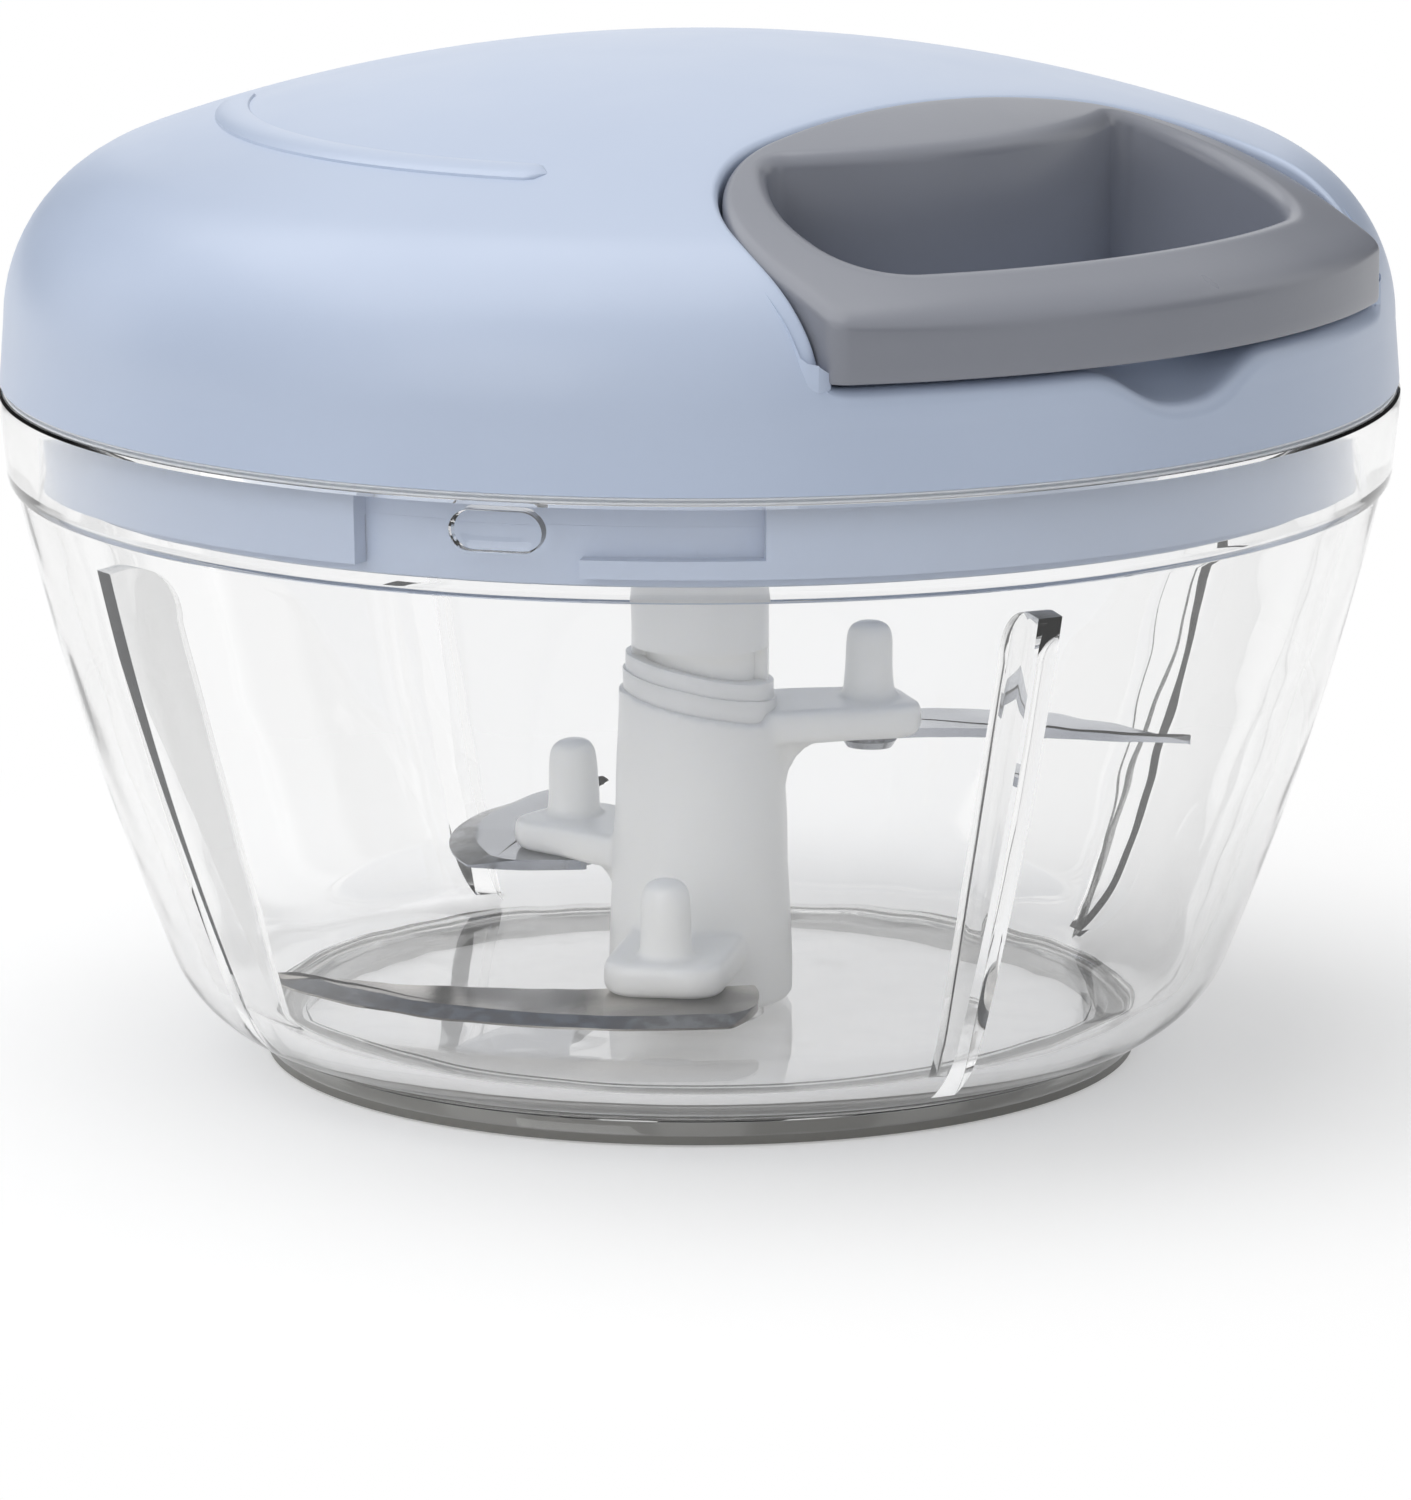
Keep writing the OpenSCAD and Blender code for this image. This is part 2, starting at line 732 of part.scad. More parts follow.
module hub_body() {
    difference() {
        translate([0, 0, hub_z]) cylinder(r1 = hub_r + 1.2, r2 = hub_r, h = hub_top - hub_z + 2);
        above_slope(hub_top - 0.6);
    }
    difference() {
        translate([0, 0, hub_top - 4]) cylinder(r = crown_r, h = 10);
        above_slope(crown_mid);
    }
    difference() {
        translate([0, 0, hub_top - 4]) cylinder(r = crown_r + 0.25, h = 10);
        above_slope(crown_mid - 1.2);
    }
}

module arm(i) {
    rc = 2.4;
    rotate(arm_az[i]) {
        translate([0, 0, arm_z[i]])
            linear_extrude(arm_t) {
                translate([0, -arm_w / 2]) square([arm_end - rc, arm_w]);
                translate([0, rc - arm_w / 2]) square([arm_end, arm_w - 2 * rc]);
                for (s = [-1, 1])
                    translate([arm_end - rc, s * (arm_w / 2 - rc)]) circle(r = rc, $fn = 48);
            }
        translate([0, -2.2, hub_z + 0.6]) cube([hub_r + 1.6, 4.4, arm_z[i] - hub_z]);
        translate([pin_ring, 0, arm_z[i] + arm_t])
            rotate_extrude($fn = 48)
                polygon(concat(
                    [[0, -1], [peg_r + 0.15, -1]],
                    arc([peg_r - peg_round, peg_h - peg_round], peg_round, 0, 90, 6),
                    [[0, peg_h]]
                ));
    }
}

module rotor_hub() {
    color([0.9, 0.9, 0.89])
        difference() {
            union() {
                hub_body();
                for (i = [0:2]) arm(i);
            }
            translate([0, 0, pilot_z - 0.8]) cylinder(r = pilot_r + 0.1, h = far);
            translate([0, 0, -1]) cylinder(r = pin_r + 1.75, h = pin_top + 2);
            intersection() {
                ring(pilot_r - 1, hub_r + 4, key_z - 0.8, far);
                for (a = [0, 180])
                    wedge(
                        crown_az + a - key_half - turn_play,
                        crown_az + a + key_half + drive_play,
                        0, far
                    );
            }
            for (i = [0:2])
                translate([pin_at(i)[0], pin_at(i)[1], arm_z[i] - 1]) cylinder(r = rivet_r + 0.05, h = 6.4);
        }
}

module pivot_bush() {
    color([0.78, 0.66, 0.4])
        difference() {
            translate([0, 0, hub_z + 0.3]) cylinder(r = pin_r + 1.7, h = pin_top - hub_z + 0.6);
            translate([0, 0, -1]) cylinder(r = pin_r + run_fit, h = pin_top + 1.3);
        }
}

// Sickle blade with its hollow back, drawn along X from its pin
module blade_plan(i) {
    edge = edge_r(i);
    back = 70;
    root_r = 18;
    difference() {
        intersection() {
            translate([blade_peak_x, blade_peak - edge]) circle(r = edge, $fn = 180);
            translate([-blade_root[i], -6]) square([far, 40]);
            translate([root_r - blade_root[i], 3.4]) circle(r = root_r, $fn = 120);
        }
        translate([blade_len(i) * 0.55, 2 - back]) circle(r = back, $fn = 180);
        circle(r = rivet_r + 0.05, $fn = 48);
    }
    difference() {
        intersection() {
            translate([blade_peak_x, blade_peak - edge]) circle(r = edge, $fn = 180);
            translate([10, -6]) square([far, 40]);
        }
        translate([blade_len(i) * 0.55, 2 - back]) circle(r = back, $fn = 180);
    }
}

module blade(i) {
    edge = edge_r(i);
    color([0.7, 0.72, 0.75])
        translate([pin_at(i)[0], pin_at(i)[1], arm_z[i] - blade_t])
            rotate(head_az[i])
                difference() {
                    linear_extrude(blade_t) blade_plan(i);
                    translate([blade_peak_x, blade_peak - edge, 0])
                        rotate_extrude($fn = 180)
                            polygon([
                                [edge - bevel_w, blade_t + 0.01],
                                [edge + 2, blade_t + 0.01],
                                [edge + 2, 0.2],
                                [edge, 0.2]
                            ]);
                }
}

module blade_lower() {
    blade(0);
}

module blade_middle() {
    blade(1);
}

module blade_upper() {
    blade(2);
}

module blade_pins() {
    color([0.66, 0.67, 0.69])
        for (i = [0:2])
            translate([pin_at(i)[0], pin_at(i)[1], arm_z[i] - blade_t]) {
                cylinder(r = rivet_r, h = 4.8, $fn = 48);
                translate([0, 0, -0.7]) cylinder(r1 = 2.2, r2 = 2.6, h = 0.7, $fn = 48);
            }
}

bowl();
foot_ring();
pivot_pin();
seal_ring();
lid_cover();
lid_base();
base_screws();
shaft_bush();
spring_case();
spring_cover();
recoil_spring();
cord_eyelet();
cord_lead();
drive_shaft();
cord_reel();
reel_clip();
pull_cord();
pull_handle();
knot_plug();
cord_knot();
rotor_hub();
pivot_bush();
blade_lower();
blade_middle();
blade_upper();
blade_pins();
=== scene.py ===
"""Dressed scene of a pull-string food chopper: clear bowl, domed lid, docked handle and a bladed rotor."""

import logging
import math
from collections.abc import Sequence
from dataclasses import dataclass, field
from enum import Enum
from typing import Any

import bmesh
import bpy
from mathutils import Euler, Matrix, Vector


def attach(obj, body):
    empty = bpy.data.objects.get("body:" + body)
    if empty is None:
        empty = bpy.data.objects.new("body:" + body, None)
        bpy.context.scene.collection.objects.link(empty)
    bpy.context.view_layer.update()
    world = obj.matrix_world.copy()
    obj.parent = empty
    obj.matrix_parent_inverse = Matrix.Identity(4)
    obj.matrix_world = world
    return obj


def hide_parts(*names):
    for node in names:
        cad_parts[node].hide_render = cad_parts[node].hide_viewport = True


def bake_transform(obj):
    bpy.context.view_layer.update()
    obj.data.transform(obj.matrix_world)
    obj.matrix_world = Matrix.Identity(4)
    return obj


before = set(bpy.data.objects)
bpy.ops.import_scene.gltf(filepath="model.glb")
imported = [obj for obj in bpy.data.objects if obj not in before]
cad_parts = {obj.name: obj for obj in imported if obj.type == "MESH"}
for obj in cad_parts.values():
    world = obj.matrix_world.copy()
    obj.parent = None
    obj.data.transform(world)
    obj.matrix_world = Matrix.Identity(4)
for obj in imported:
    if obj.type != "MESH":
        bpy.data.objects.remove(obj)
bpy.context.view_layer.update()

log = logging.getLogger("chopper")

MM = 0.001
"""Metres in a millimetre. Sizes below are in millimetres and become metres when vertices are placed."""
TINY = 1e-9
"""A length that counts as nothing."""
WELD = 2e-6
"""Vertices nearer to each other than this, in metres, are merged."""
LONG_STEPS = 60
"""Steps along a long stretch of a plan outline."""
CORNER_STEPS = 24
"""Steps round a corner of a plan outline."""
WAVE_RADIANS = 20.0
"""Radians that a wave texture runs through in one unit at scale 1."""
FIN_GAP = 2.6
"""Room between a blade's tip and the bowl's fins."""

Ring = Sequence[Vector]
Section = list[tuple[float, float]]


class Body(str, Enum):
    """Moving bodies that a piece can ride on."""

    BOWL = "bowl"
    SEAL = "seal"
    LID = "lid"
    REEL = "reel"
    HANDLE = "handle"
    ROTOR = "rotor"


class Cap(Enum):
    """How the end of a loft is closed."""

    OPEN = "open"
    FILL = "fill"
    JOIN = "join"


class Combine(Enum):
    """How a tool shape changes a piece."""

    UNION = "UNION"
    DIFFERENCE = "DIFFERENCE"


def mix(a: float, b: float, t: float) -> float:
    """Return the value a share t of the way from a to b."""
    return a + (b - a) * t


def ease(low: float, high: float, x: float) -> float:
    """Return 0 below low, 1 above high and a smooth step between."""
    t = min(1.0, max(0.0, (x - low) / (high - low)))
    return t * t * (3.0 - 2.0 * t)


def polar(radius: float, degrees: float) -> Vector:
    """Return the plan point at a radius and a direction from +X."""
    a = math.radians(degrees)
    return Vector((radius * math.cos(a), radius * math.sin(a)))


def arc(centre: Sequence[float], radius: float, start: float, stop: float, count: int) -> list[Vector]:
    """Return plan points along an arc, both ends included.

    Args:
        centre: Middle of the arc.
        radius: Radius of the arc.
        start: First direction in degrees.
        stop: Last direction in degrees.
        count: Number of steps.

    Returns:
        The points in order.
    """
    middle = Vector(centre)
    return [middle + polar(radius, mix(start, stop, k / count)) for k in range(count + 1)]


def walk(line: Sequence[Vector], count: int) -> list[Vector]:
    """Return points at even steps along an open line, its last point left out.

    Args:
        line: Points of the line.
        count: Number of steps.

    Returns:
        The points in order.
    """
    lengths = [(b - a).length for a, b in zip(line, line[1:])]
    total, out, k, walked = sum(lengths), [], 0, 0.0
    for n in range(count):
        want = total * n / count
        while walked + lengths[k] < want:
            walked += lengths[k]
            k += 1
        out.append(line[k].lerp(line[k + 1], (want - walked) / max(lengths[k], TINY)))
    return out


def spaced(loop: Sequence[Vector], count: int) -> list[Vector]:
    """Return a closed line resampled at even steps."""
    return walk([*loop, loop[0]], count)


def softened(loop: Sequence[Vector], passes: int) -> list[Vector]:
    """Return a closed line whose corners are eased by averaging neighbours.

    Args:
        loop: Points of the closed line.
        passes: How often each point is drawn toward its neighbours.

    Returns:
        The eased line, with as many points.
    """
    points = list(loop)
    for _ in range(passes):
        points = [
            points[k - 1] * 0.25 + points[k] * 0.5 + points[(k + 1) % len(points)] * 0.25
            for k in range(len(points))
        ]
    return points


def mirrored(right: Sequence[Vector]) -> list[Vector]:
    """Return a closed plan line from its +X half, whose two ends lie on the middle line."""
    return [*right, *(Vector((-p.x, p.y)) for p in right[-2:0:-1])]


def ringed(legs: Sequence[Sequence[Vector]], counts: Sequence[int]) -> list[Vector]:
    """Return a closed plan line from the stretches of its +X half, each walked in its own number of steps."""
    return mirrored([p for leg, count in zip(legs, counts) for p in walk(leg, count)] + [legs[-1][-1]])


class Bench:
    """Hand tools that the sub-assemblies share."""

    @staticmethod
    def clear() -> None:
        """Leave edit mode and drop every selection."""
        active = bpy.context.view_layer.objects.active
        if active is not None and active.mode != "OBJECT":
            bpy.ops.object.mode_set(mode="OBJECT")
        bpy.ops.object.select_all(action="DESELECT")

    @staticmethod
    def hold(piece: bpy.types.Object) -> None:
        """Make one piece the only selected and active one.

        Args:
            piece: The piece to work on.
        """
        Bench.clear()
        piece.select_set(True)
        bpy.context.view_layer.objects.active = piece

    @staticmethod
    def edit(piece: bpy.types.Object) -> None:
        """Open a piece in edit mode with all of it selected.

        Args:
            piece: The piece to open.
        """
        Bench.hold(piece)
        bpy.ops.object.mode_set(mode="EDIT")
        bpy.ops.mesh.select_all(action="SELECT")

    @staticmethod
    def named(name: str) -> bpy.types.Object:
        """Give the active piece and its mesh a name.

        Args:
            name: The name.

        Returns:
            The active piece.
        """
        piece = bpy.context.object
        piece.name = piece.data.name = name
        return piece

    @staticmethod
    def settle(piece: bpy.types.Object) -> bpy.types.Object:
        """Apply a piece's place, turn and scale to its mesh.

        Args:
            piece: The piece.

        Returns:
            The same piece, at the origin.
        """
        Bench.hold(piece)
        bpy.ops.object.transform_apply(location=True, rotation=True, scale=True)
        return piece

    @staticmethod
    def tidy(piece: bpy.types.Object) -> None:
        """Merge doubled vertices, drop loose ones and turn the faces outward.

        Args:
            piece: The piece to clean.
        """
        Bench.edit(piece)
        bpy.ops.mesh.remove_doubles(threshold=WELD)
        bpy.ops.mesh.delete_loose()
        bpy.ops.mesh.select_all(action="SELECT")
        bpy.ops.mesh.normals_make_consistent(inside=False)
        bpy.ops.object.mode_set(mode="OBJECT")

    @staticmethod
    def smooth(piece: bpy.types.Object, degrees: float = 38.0) -> bpy.types.Object:
        """Shade a piece smooth where its faces meet below an angle.

        Args:
            piece: The piece.
            degrees: Angle from which an edge stays sharp.

        Returns:
            The same piece.
        """
        Bench.hold(piece)
        bpy.ops.object.shade_smooth_by_angle(angle=math.radians(degrees))
        return piece

    @staticmethod
    def modify(piece: bpy.types.Object, kind: str, **settings: Any) -> None:
        """Add a modifier with its settings and apply it.

        Args:
            piece: The piece to change.
            kind: Type of the modifier.
            settings: Its properties.
        """
        Bench.hold(piece)
        made = piece.modifiers.new(kind.lower(), kind)
        for key, value in settings.items():
            setattr(made, key, value)
        bpy.ops.object.modifier_apply(modifier=made.name)

    @staticmethod
    def bevel(piece: bpy.types.Object, width: float, segments: int, degrees: float) -> None:
        """Round the edges of a piece that turn by more than an angle.

        Args:
            piece: The piece.
            width: Width of the round in millimetres.
            segments: Faces across the round.
            degrees: Least turn of an edge that is rounded.
        """
        limit = math.radians(degrees)
        Bench.modify(piece, "BEVEL", width=width * MM, segments=segments, limit_method="ANGLE", angle_limit=limit)

    @staticmethod
    def join(pieces: Sequence[bpy.types.Object]) -> bpy.types.Object:
        """Join pieces into the first of them.

        Args:
            pieces: The pieces.

        Returns:
            The joined piece.
        """
        Bench.hold(pieces[0])
        for piece in pieces:
            piece.select_set(True)
        bpy.ops.object.join()
        return bpy.context.object

    @staticmethod
    def cut(piece: bpy.types.Object, tool: bpy.types.Object, how: Combine) -> None:
        """Combine a piece with a tool shape by a Boolean and remove the tool."""
        Bench.modify(piece, "BOOLEAN", object=tool, operation=how.value, solver="MANIFOLD")
        bpy.data.objects.remove(tool)

    @staticmethod
    def place_loop(piece: bpy.types.Object, points: Ring) -> None:
        """Move the selected loop of the piece being edited to points by their station numbers.

        Args:
            piece: The piece, in edit mode.
            points: One point in millimetres for each station.
        """
        sheet = bmesh.from_edit_mesh(piece.data)
        station = sheet.verts.layers.int["station"]
        for vertex in sheet.verts:
            if vertex.select:
                vertex.co = points[vertex[station]] * MM
        bmesh.update_edit_mesh(piece.data)

    @staticmethod
    def outline(name: str, points: Ring) -> bpy.types.Object:
        """Start a piece as a circle whose vertices are moved to a closed line, and stay in edit mode.

        Args:
            name: Name of the piece.
            points: Closed line in millimetres.

        Returns:
            The piece, in edit mode with its loop selected.
        """
        Bench.clear()
        bpy.ops.mesh.primitive_circle_add(vertices=len(points), radius=0.01, fill_type="NOTHING")
        piece = Bench.named(name)
        bpy.ops.object.mode_set(mode="EDIT")
        sheet = bmesh.from_edit_mesh(piece.data)
        station = sheet.verts.layers.int.new("station")
        for k, vertex in enumerate(sheet.verts):
            vertex[station] = k
        Bench.place_loop(piece, points)
        return piece

    @staticmethod
    def loft(name: str, rings: Sequence[Ring], start: Cap, stop: Cap) -> bpy.types.Object:
        """Extrude a loop ring by ring.

        Args:
            name: Name of the piece.
            rings: Closed lines of equal count, in millimetres.
            start: How the first ring is closed.
            stop: How the last ring is closed. JOIN runs it back to the first.

        Returns:
            The piece, smooth-shaded and facing outward.
        """
        piece = Bench.outline(name, rings[0])
        if start is Cap.FILL:
            bpy.ops.mesh.edge_face_add()
        rest = list(rings[1:]) + ([rings[0]] if stop is Cap.JOIN else [])
        for ring in rest:
            bpy.ops.mesh.extrude_edges_move()
            Bench.place_loop(piece, ring)
        if stop is Cap.FILL:
            bpy.ops.mesh.edge_face_add()
        bpy.ops.object.mode_set(mode="OBJECT")
        Bench.tidy(piece)
        return Bench.smooth(piece)

    @staticmethod
    def turn(name: str, section: Section, steps: int = 192) -> bpy.types.Object:
        """Spin a closed half section about the upright axis.

        Args:
            name: Name of the piece.
            section: Radius and height pairs in millimetres.
            steps: Steps in the full turn.

        Returns:
            The piece, smooth-shaded and facing outward.
        """
        piece = Bench.outline(name, [Vector((r, 0.0, z)) for r, z in section])
        sheet = bmesh.from_edit_mesh(piece.data)
        on_axis = [e for e in sheet.edges if all(abs(v.co.x) < TINY for v in e.verts)]
        for edge in sheet.edges:
            edge.select = edge in on_axis
        if on_axis:
            bpy.ops.mesh.delete(type="EDGE")
        bpy.ops.mesh.select_all(action="SELECT")
        bpy.ops.mesh.spin(steps=steps, angle=math.tau, center=(0, 0, 0), axis=(0, 0, 1))
        bpy.ops.object.mode_set(mode="OBJECT")
        Bench.tidy(piece)
        return Bench.smooth(piece)

    @staticmethod
    def post(
        name: str, at: Vector, low: float, stack: Sequence[tuple[float, float]], steps: int = 48
    ) -> bpy.types.Object:
        """Make an upright turned post that narrows step by step.

        Args:
            name: Name of the piece.
            at: Plan place in millimetres.
            low: Height of the foot.
            stack: Radius and height of each step from the foot up, heights above the foot.
            steps: Steps in the full turn.

        Returns:
            The piece.
        """
        section = [(0.0, low)] + [(r, low + z) for r, z in stack] + [(0.0, low + stack[-1][1])]
        piece = Bench.turn(name, section, steps)
        piece.location = Vector((at.x, at.y, 0.0)) * MM
        return Bench.settle(piece)


def linear(hex_colour: str) -> tuple[float, float, float, float]:
    """Turn an sRGB hex colour to linear.

    Args:
        hex_colour: Six hex digits after a hash.

    Returns:
        Linear RGBA.
    """
    text = hex_colour.lstrip("#")
    parts = [int(text[k : k + 2], 16) / 255.0 for k in (0, 2, 4)]
    r, g, b = (c / 12.92 if c <= 0.04045 else ((c + 0.055) / 1.055) ** 2.4 for c in parts)
    return (r, g, b, 1.0)


def grey(level: float) -> tuple[float, float, float, float]:
    """Return a linear grey of the stage as RGBA."""
    return (level, level, level, 1.0)


def add(
    tree: bpy.types.NodeTree, kind: str, sockets: dict[Any, Any] | None = None, **settings: Any
) -> bpy.types.Node:
    """Add one node, set its properties and fill or link its sockets.

    Args:
        tree: Tree that takes the node.
        kind: Node type without its ShaderNode prefix.
        sockets: Input name or number, with a constant or an output socket to link.
        settings: Properties of the node.

    Returns:
        The node.
    """
    made = tree.nodes.new("ShaderNode" + kind)
    for key, value in settings.items():
        setattr(made, key, value)
    for key, value in (sockets or {}).items():
        if isinstance(value, bpy.types.NodeSocket):
            tree.links.new(value, made.inputs[key])
        else:
            made.inputs[key].default_value = value
    return made


def per_metre(size_mm: float) -> float:
    """Return the texture scale that gives a feature about this many millimetres wide."""
    return 1.0 / (size_mm * MM)


@dataclass(frozen=True)
class Finish:
    """A surface finish that makes one material."""

    name: str

    def start(self) -> tuple[bpy.types.Material, bpy.types.NodeTree]:
        """Start a new material.

        Returns:
            The material and its empty node tree.
        """
        made = bpy.data.materials.new(self.name)
        made.use_nodes = True
        made.node_tree.nodes.clear()
        return made, made.node_tree

    def make(self) -> bpy.types.Material:
        """Return the finished material, made once and then shared."""
        found = bpy.data.materials.get(self.name)
        return found if found is not None else self.mix()

    def mix(self) -> bpy.types.Material:
        """Return the new material. Each finish has its own recipe."""
        raise NotImplementedError


@dataclass(frozen=True)
class MouldedPlastic(Finish):
    """Opaque injection-moulded plastic: spark-eroded mould skin, faint flow shade and hand-polished patches."""

    colour: str = "#BFCCE2"
    shade: str = "#B7C4DB"
    rough: float = 0.34
    rough_swing: float = 0.06
    ior: float = 1.53
    grain_mm: float = 0.45
    grain_deep: float = 0.1
    grain_lift: float = 0.05
    flow_mm: float = 34.0
    polish_mm: float = 9.0
    milk: float = 0.0
    milk_mm: float = 2.0
    milk_tint: tuple[float, float, float] = (1.0, 1.0, 0.95)

    def mix(self) -> bpy.types.Material:
        """Mix the plastic: flow shade in colour, polish in roughness, mould grain in bump.

        Returns:
            The material.
        """
        made, tree = self.start()
        place = add(tree, "TexCoord").outputs["Object"]
        flow = add(tree, "TexNoise", {"Vector": place, "Scale": per_metre(self.flow_mm), "Detail": 3.0})
        shades = {0: flow.outputs["Fac"], 6: linear(self.colour), 7: linear(self.shade)}
        tint = add(tree, "Mix", shades, data_type="RGBA")
        polish = add(tree, "TexNoise", {"Vector": place, "Scale": per_metre(self.polish_mm), "Detail": 4.0})
        low, high = self.rough - self.rough_swing, self.rough + self.rough_swing
        rough = add(tree, "MapRange", {0: polish.outputs["Fac"], 3: low, 4: high})
        # The real mould grain is near 0.1 mm. It is drawn coarser so that it shows at this picture size.
        grain = add(tree, "TexNoise", {"Vector": place, "Scale": per_metre(self.grain_mm), "Detail": 2.0})
        lift = {"Height": grain.outputs["Fac"], "Strength": self.grain_lift, "Distance": self.grain_deep * MM}
        bump = add(tree, "Bump", lift)
        shader = add(tree, "BsdfPrincipled", {
            "Base Color": tint.outputs[2],
            "Roughness": rough.outputs[0],
            "Normal": bump.outputs[0],
            "IOR": self.ior,
            "Subsurface Weight": self.milk,
            "Subsurface Radius": self.milk_tint,
            "Subsurface Scale": self.milk_mm * MM,
        })
        add(tree, "OutputMaterial", {"Surface": shader.outputs[0]})
        return made


@dataclass(frozen=True)
class ClearPlastic(Finish):
    """Clear styrene-acrylonitrile, moulded in a polished tool: bright edges, slow flow ripples, faint haze."""

    colour: str = "#FEFEFE"
    ior: float = 1.57
    haze_mm: float = 14.0
    haze: float = 0.018
    ripple_mm: float = 11.0
    ripple_deep: float = 0.6
    ripple: float = 0.10
    depth: str = "#BDBEBD"
    density: float = 9.0

    def mix(self) -> bpy.types.Material:
        """Mix the clear plastic: haze in roughness, flow ripples in bump.

        Returns:
            The material.
        """
        made, tree = self.start()
        place = add(tree, "TexCoord").outputs["Object"]
        haze = add(tree, "TexNoise", {"Vector": place, "Scale": per_metre(self.haze_mm), "Detail": 3.0})
        rough = add(tree, "MapRange", {0: haze.outputs["Fac"], 3: 0.0, 4: self.haze})
        ripple = add(tree, "TexNoise", {"Vector": place, "Scale": per_metre(self.ripple_mm), "Detail": 1.0})
        lift = {"Height": ripple.outputs["Fac"], "Strength": self.ripple, "Distance": self.ripple_deep * MM}
        bump = add(tree, "Bump", lift)
        shader = add(tree, "BsdfPrincipled", {
            "Base Color": linear(self.colour),
            "Roughness": rough.outputs[0],
            "Normal": bump.outputs[0],
            "IOR": self.ior,
            "Transmission Weight": 1.0,
        })
        body = add(tree, "VolumeAbsorption", {"Color": linear(self.depth), "Density": self.density})
        add(tree, "OutputMaterial", {"Surface": shader.outputs[0], "Volume": body.outputs[0]})
        return made


@dataclass(frozen=True)
class WorkedMetal(Finish):
    """Bare metal with the lines its last tool left: ground, drawn or turned."""

    colour: str = "#C8CBD0"
    # The shade is painted reflection: slow clouds mix it into the colour as the room seen in the metal.
    shade: str = "#B4B7BC"
    reflection_mm: float = 12.0
    reflection_edge: tuple[float, float] = (0.38, 0.62)
    rough: float = 0.2
    rough_swing: float = 0.05
    line_mm: float = 0.5
    line_long: float = 18.0
    line_deep: float = 0.05
    line_lift: float = 0.06
    turn_deg: float = 0.0

    def mix(self) -> bpy.types.Material:
        """Mix the metal: tool lines stretched along one direction in bump and roughness, slow painted reflection in
        colour.

        Returns:
            The material.
        """
        made, tree = self.start()
        place = add(tree, "TexCoord").outputs["Object"]
        turn = (0.0, 0.0, math.radians(self.turn_deg))
        along = add(tree, "Mapping", {"Vector": place, "Rotation": turn, "Scale": (1 / self.line_long, 1.0, 1.0)})
        # Grinding lines are near 0.05 mm apart. They are drawn coarser so that they show at this picture size.
        lines = add(tree, "TexNoise", {"Vector": along.outputs[0], "Scale": per_metre(self.line_mm), "Detail": 3.0})
        low, high = self.rough - self.rough_swing, self.rough + self.rough_swing
        rough = add(tree, "MapRange", {0: lines.outputs["Fac"], 3: low, 4: high})
        lift = {"Height": lines.outputs["Fac"], "Strength": self.line_lift, "Distance": self.line_deep * MM}
        bump = add(tree, "Bump", lift)
        # Painted reflection of the room: slow clouds that mix the shade into the colour.
        room_reflection = add(tree, "TexNoise", {"Vector": place, "Scale": per_metre(self.reflection_mm), "Detail": 1.0})
        edges = {0: room_reflection.outputs["Fac"], 1: self.reflection_edge[0], 2: self.reflection_edge[1]}
        share = add(tree, "MapRange", edges, interpolation_type="SMOOTHSTEP")
        shades = {0: share.outputs[0], 6: linear(self.colour), 7: linear(self.shade)}
        tint = add(tree, "Mix", shades, data_type="RGBA")
        shader = add(tree, "BsdfPrincipled", {
            "Base Color": tint.outputs[2],
            "Metallic": 1.0,
            "Roughness": rough.outputs[0],
            "Normal": bump.outputs[0],
        })
        add(tree, "OutputMaterial", {"Surface": shader.outputs[0]})
        return made


@dataclass(frozen=True)
class BraidedCord(Finish):
    """Braided nylon cord: two sets of strands that cross, pale and dull."""

    colour: str = "#EDECE6"
    gap: str = "#B9B7AE"
    ior: float = 1.53
    sheen: float = 0.2
    rough: tuple[float, float] = (0.62, 0.82)
    fuzz_mm: float = 0.3
    strand_mm: float = 0.9
    strand_deep: float = 0.15
    strand_lift: float = 0.5
    lean_deg: float = 52.0

    def mix(self) -> bpy.types.Material:
        """Mix the cord: crossing strand bands in colour and bump.

        Returns:
            The material.
        """
        made, tree = self.start()
        place = add(tree, "TexCoord").outputs["Object"]
        scale = per_metre(self.strand_mm) / WAVE_RADIANS * math.tau
        bands = []
        for lean in (math.radians(self.lean_deg), -math.radians(self.lean_deg)):
            turned = add(tree, "Mapping", {"Vector": place, "Rotation": (lean, lean, lean)})
            bands.append(add(tree, "TexWave", {"Vector": turned.outputs[0], "Scale": scale}))
        weave = add(tree, "Math", {0: bands[0].outputs["Fac"], 1: bands[1].outputs["Fac"]}, operation="MAXIMUM")
        shades = {0: weave.outputs[0], 6: linear(self.gap), 7: linear(self.colour)}
        tint = add(tree, "Mix", shades, data_type="RGBA")
        fuzz = add(tree, "TexNoise", {"Vector": place, "Scale": per_metre(self.fuzz_mm), "Detail": 2.0})
        rough = add(tree, "MapRange", {0: fuzz.outputs["Fac"], 3: self.rough[0], 4: self.rough[1]})
        lift = {"Height": weave.outputs[0], "Strength": self.strand_lift, "Distance": self.strand_deep * MM}
        bump = add(tree, "Bump", lift)
        shader = add(tree, "BsdfPrincipled", {
            "Base Color": tint.outputs[2],
            "Roughness": rough.outputs[0],
            "Normal": bump.outputs[0],
            "IOR": self.ior,
            "Sheen Weight": self.sheen,
        })
        add(tree, "OutputMaterial", {"Surface": shader.outputs[0]})
        return made


# Periwinkle ABS from a lightly sparked mould: broad soft highlights with no sharp glare.
LID_ABS = MouldedPlastic("lid_abs_moulded")
# The same ABS on the lid's underside, a little smoother behind the clear band.
BASE_ABS = MouldedPlastic("lid_base_abs_moulded", shade="#B8C5DC", rough=0.3)
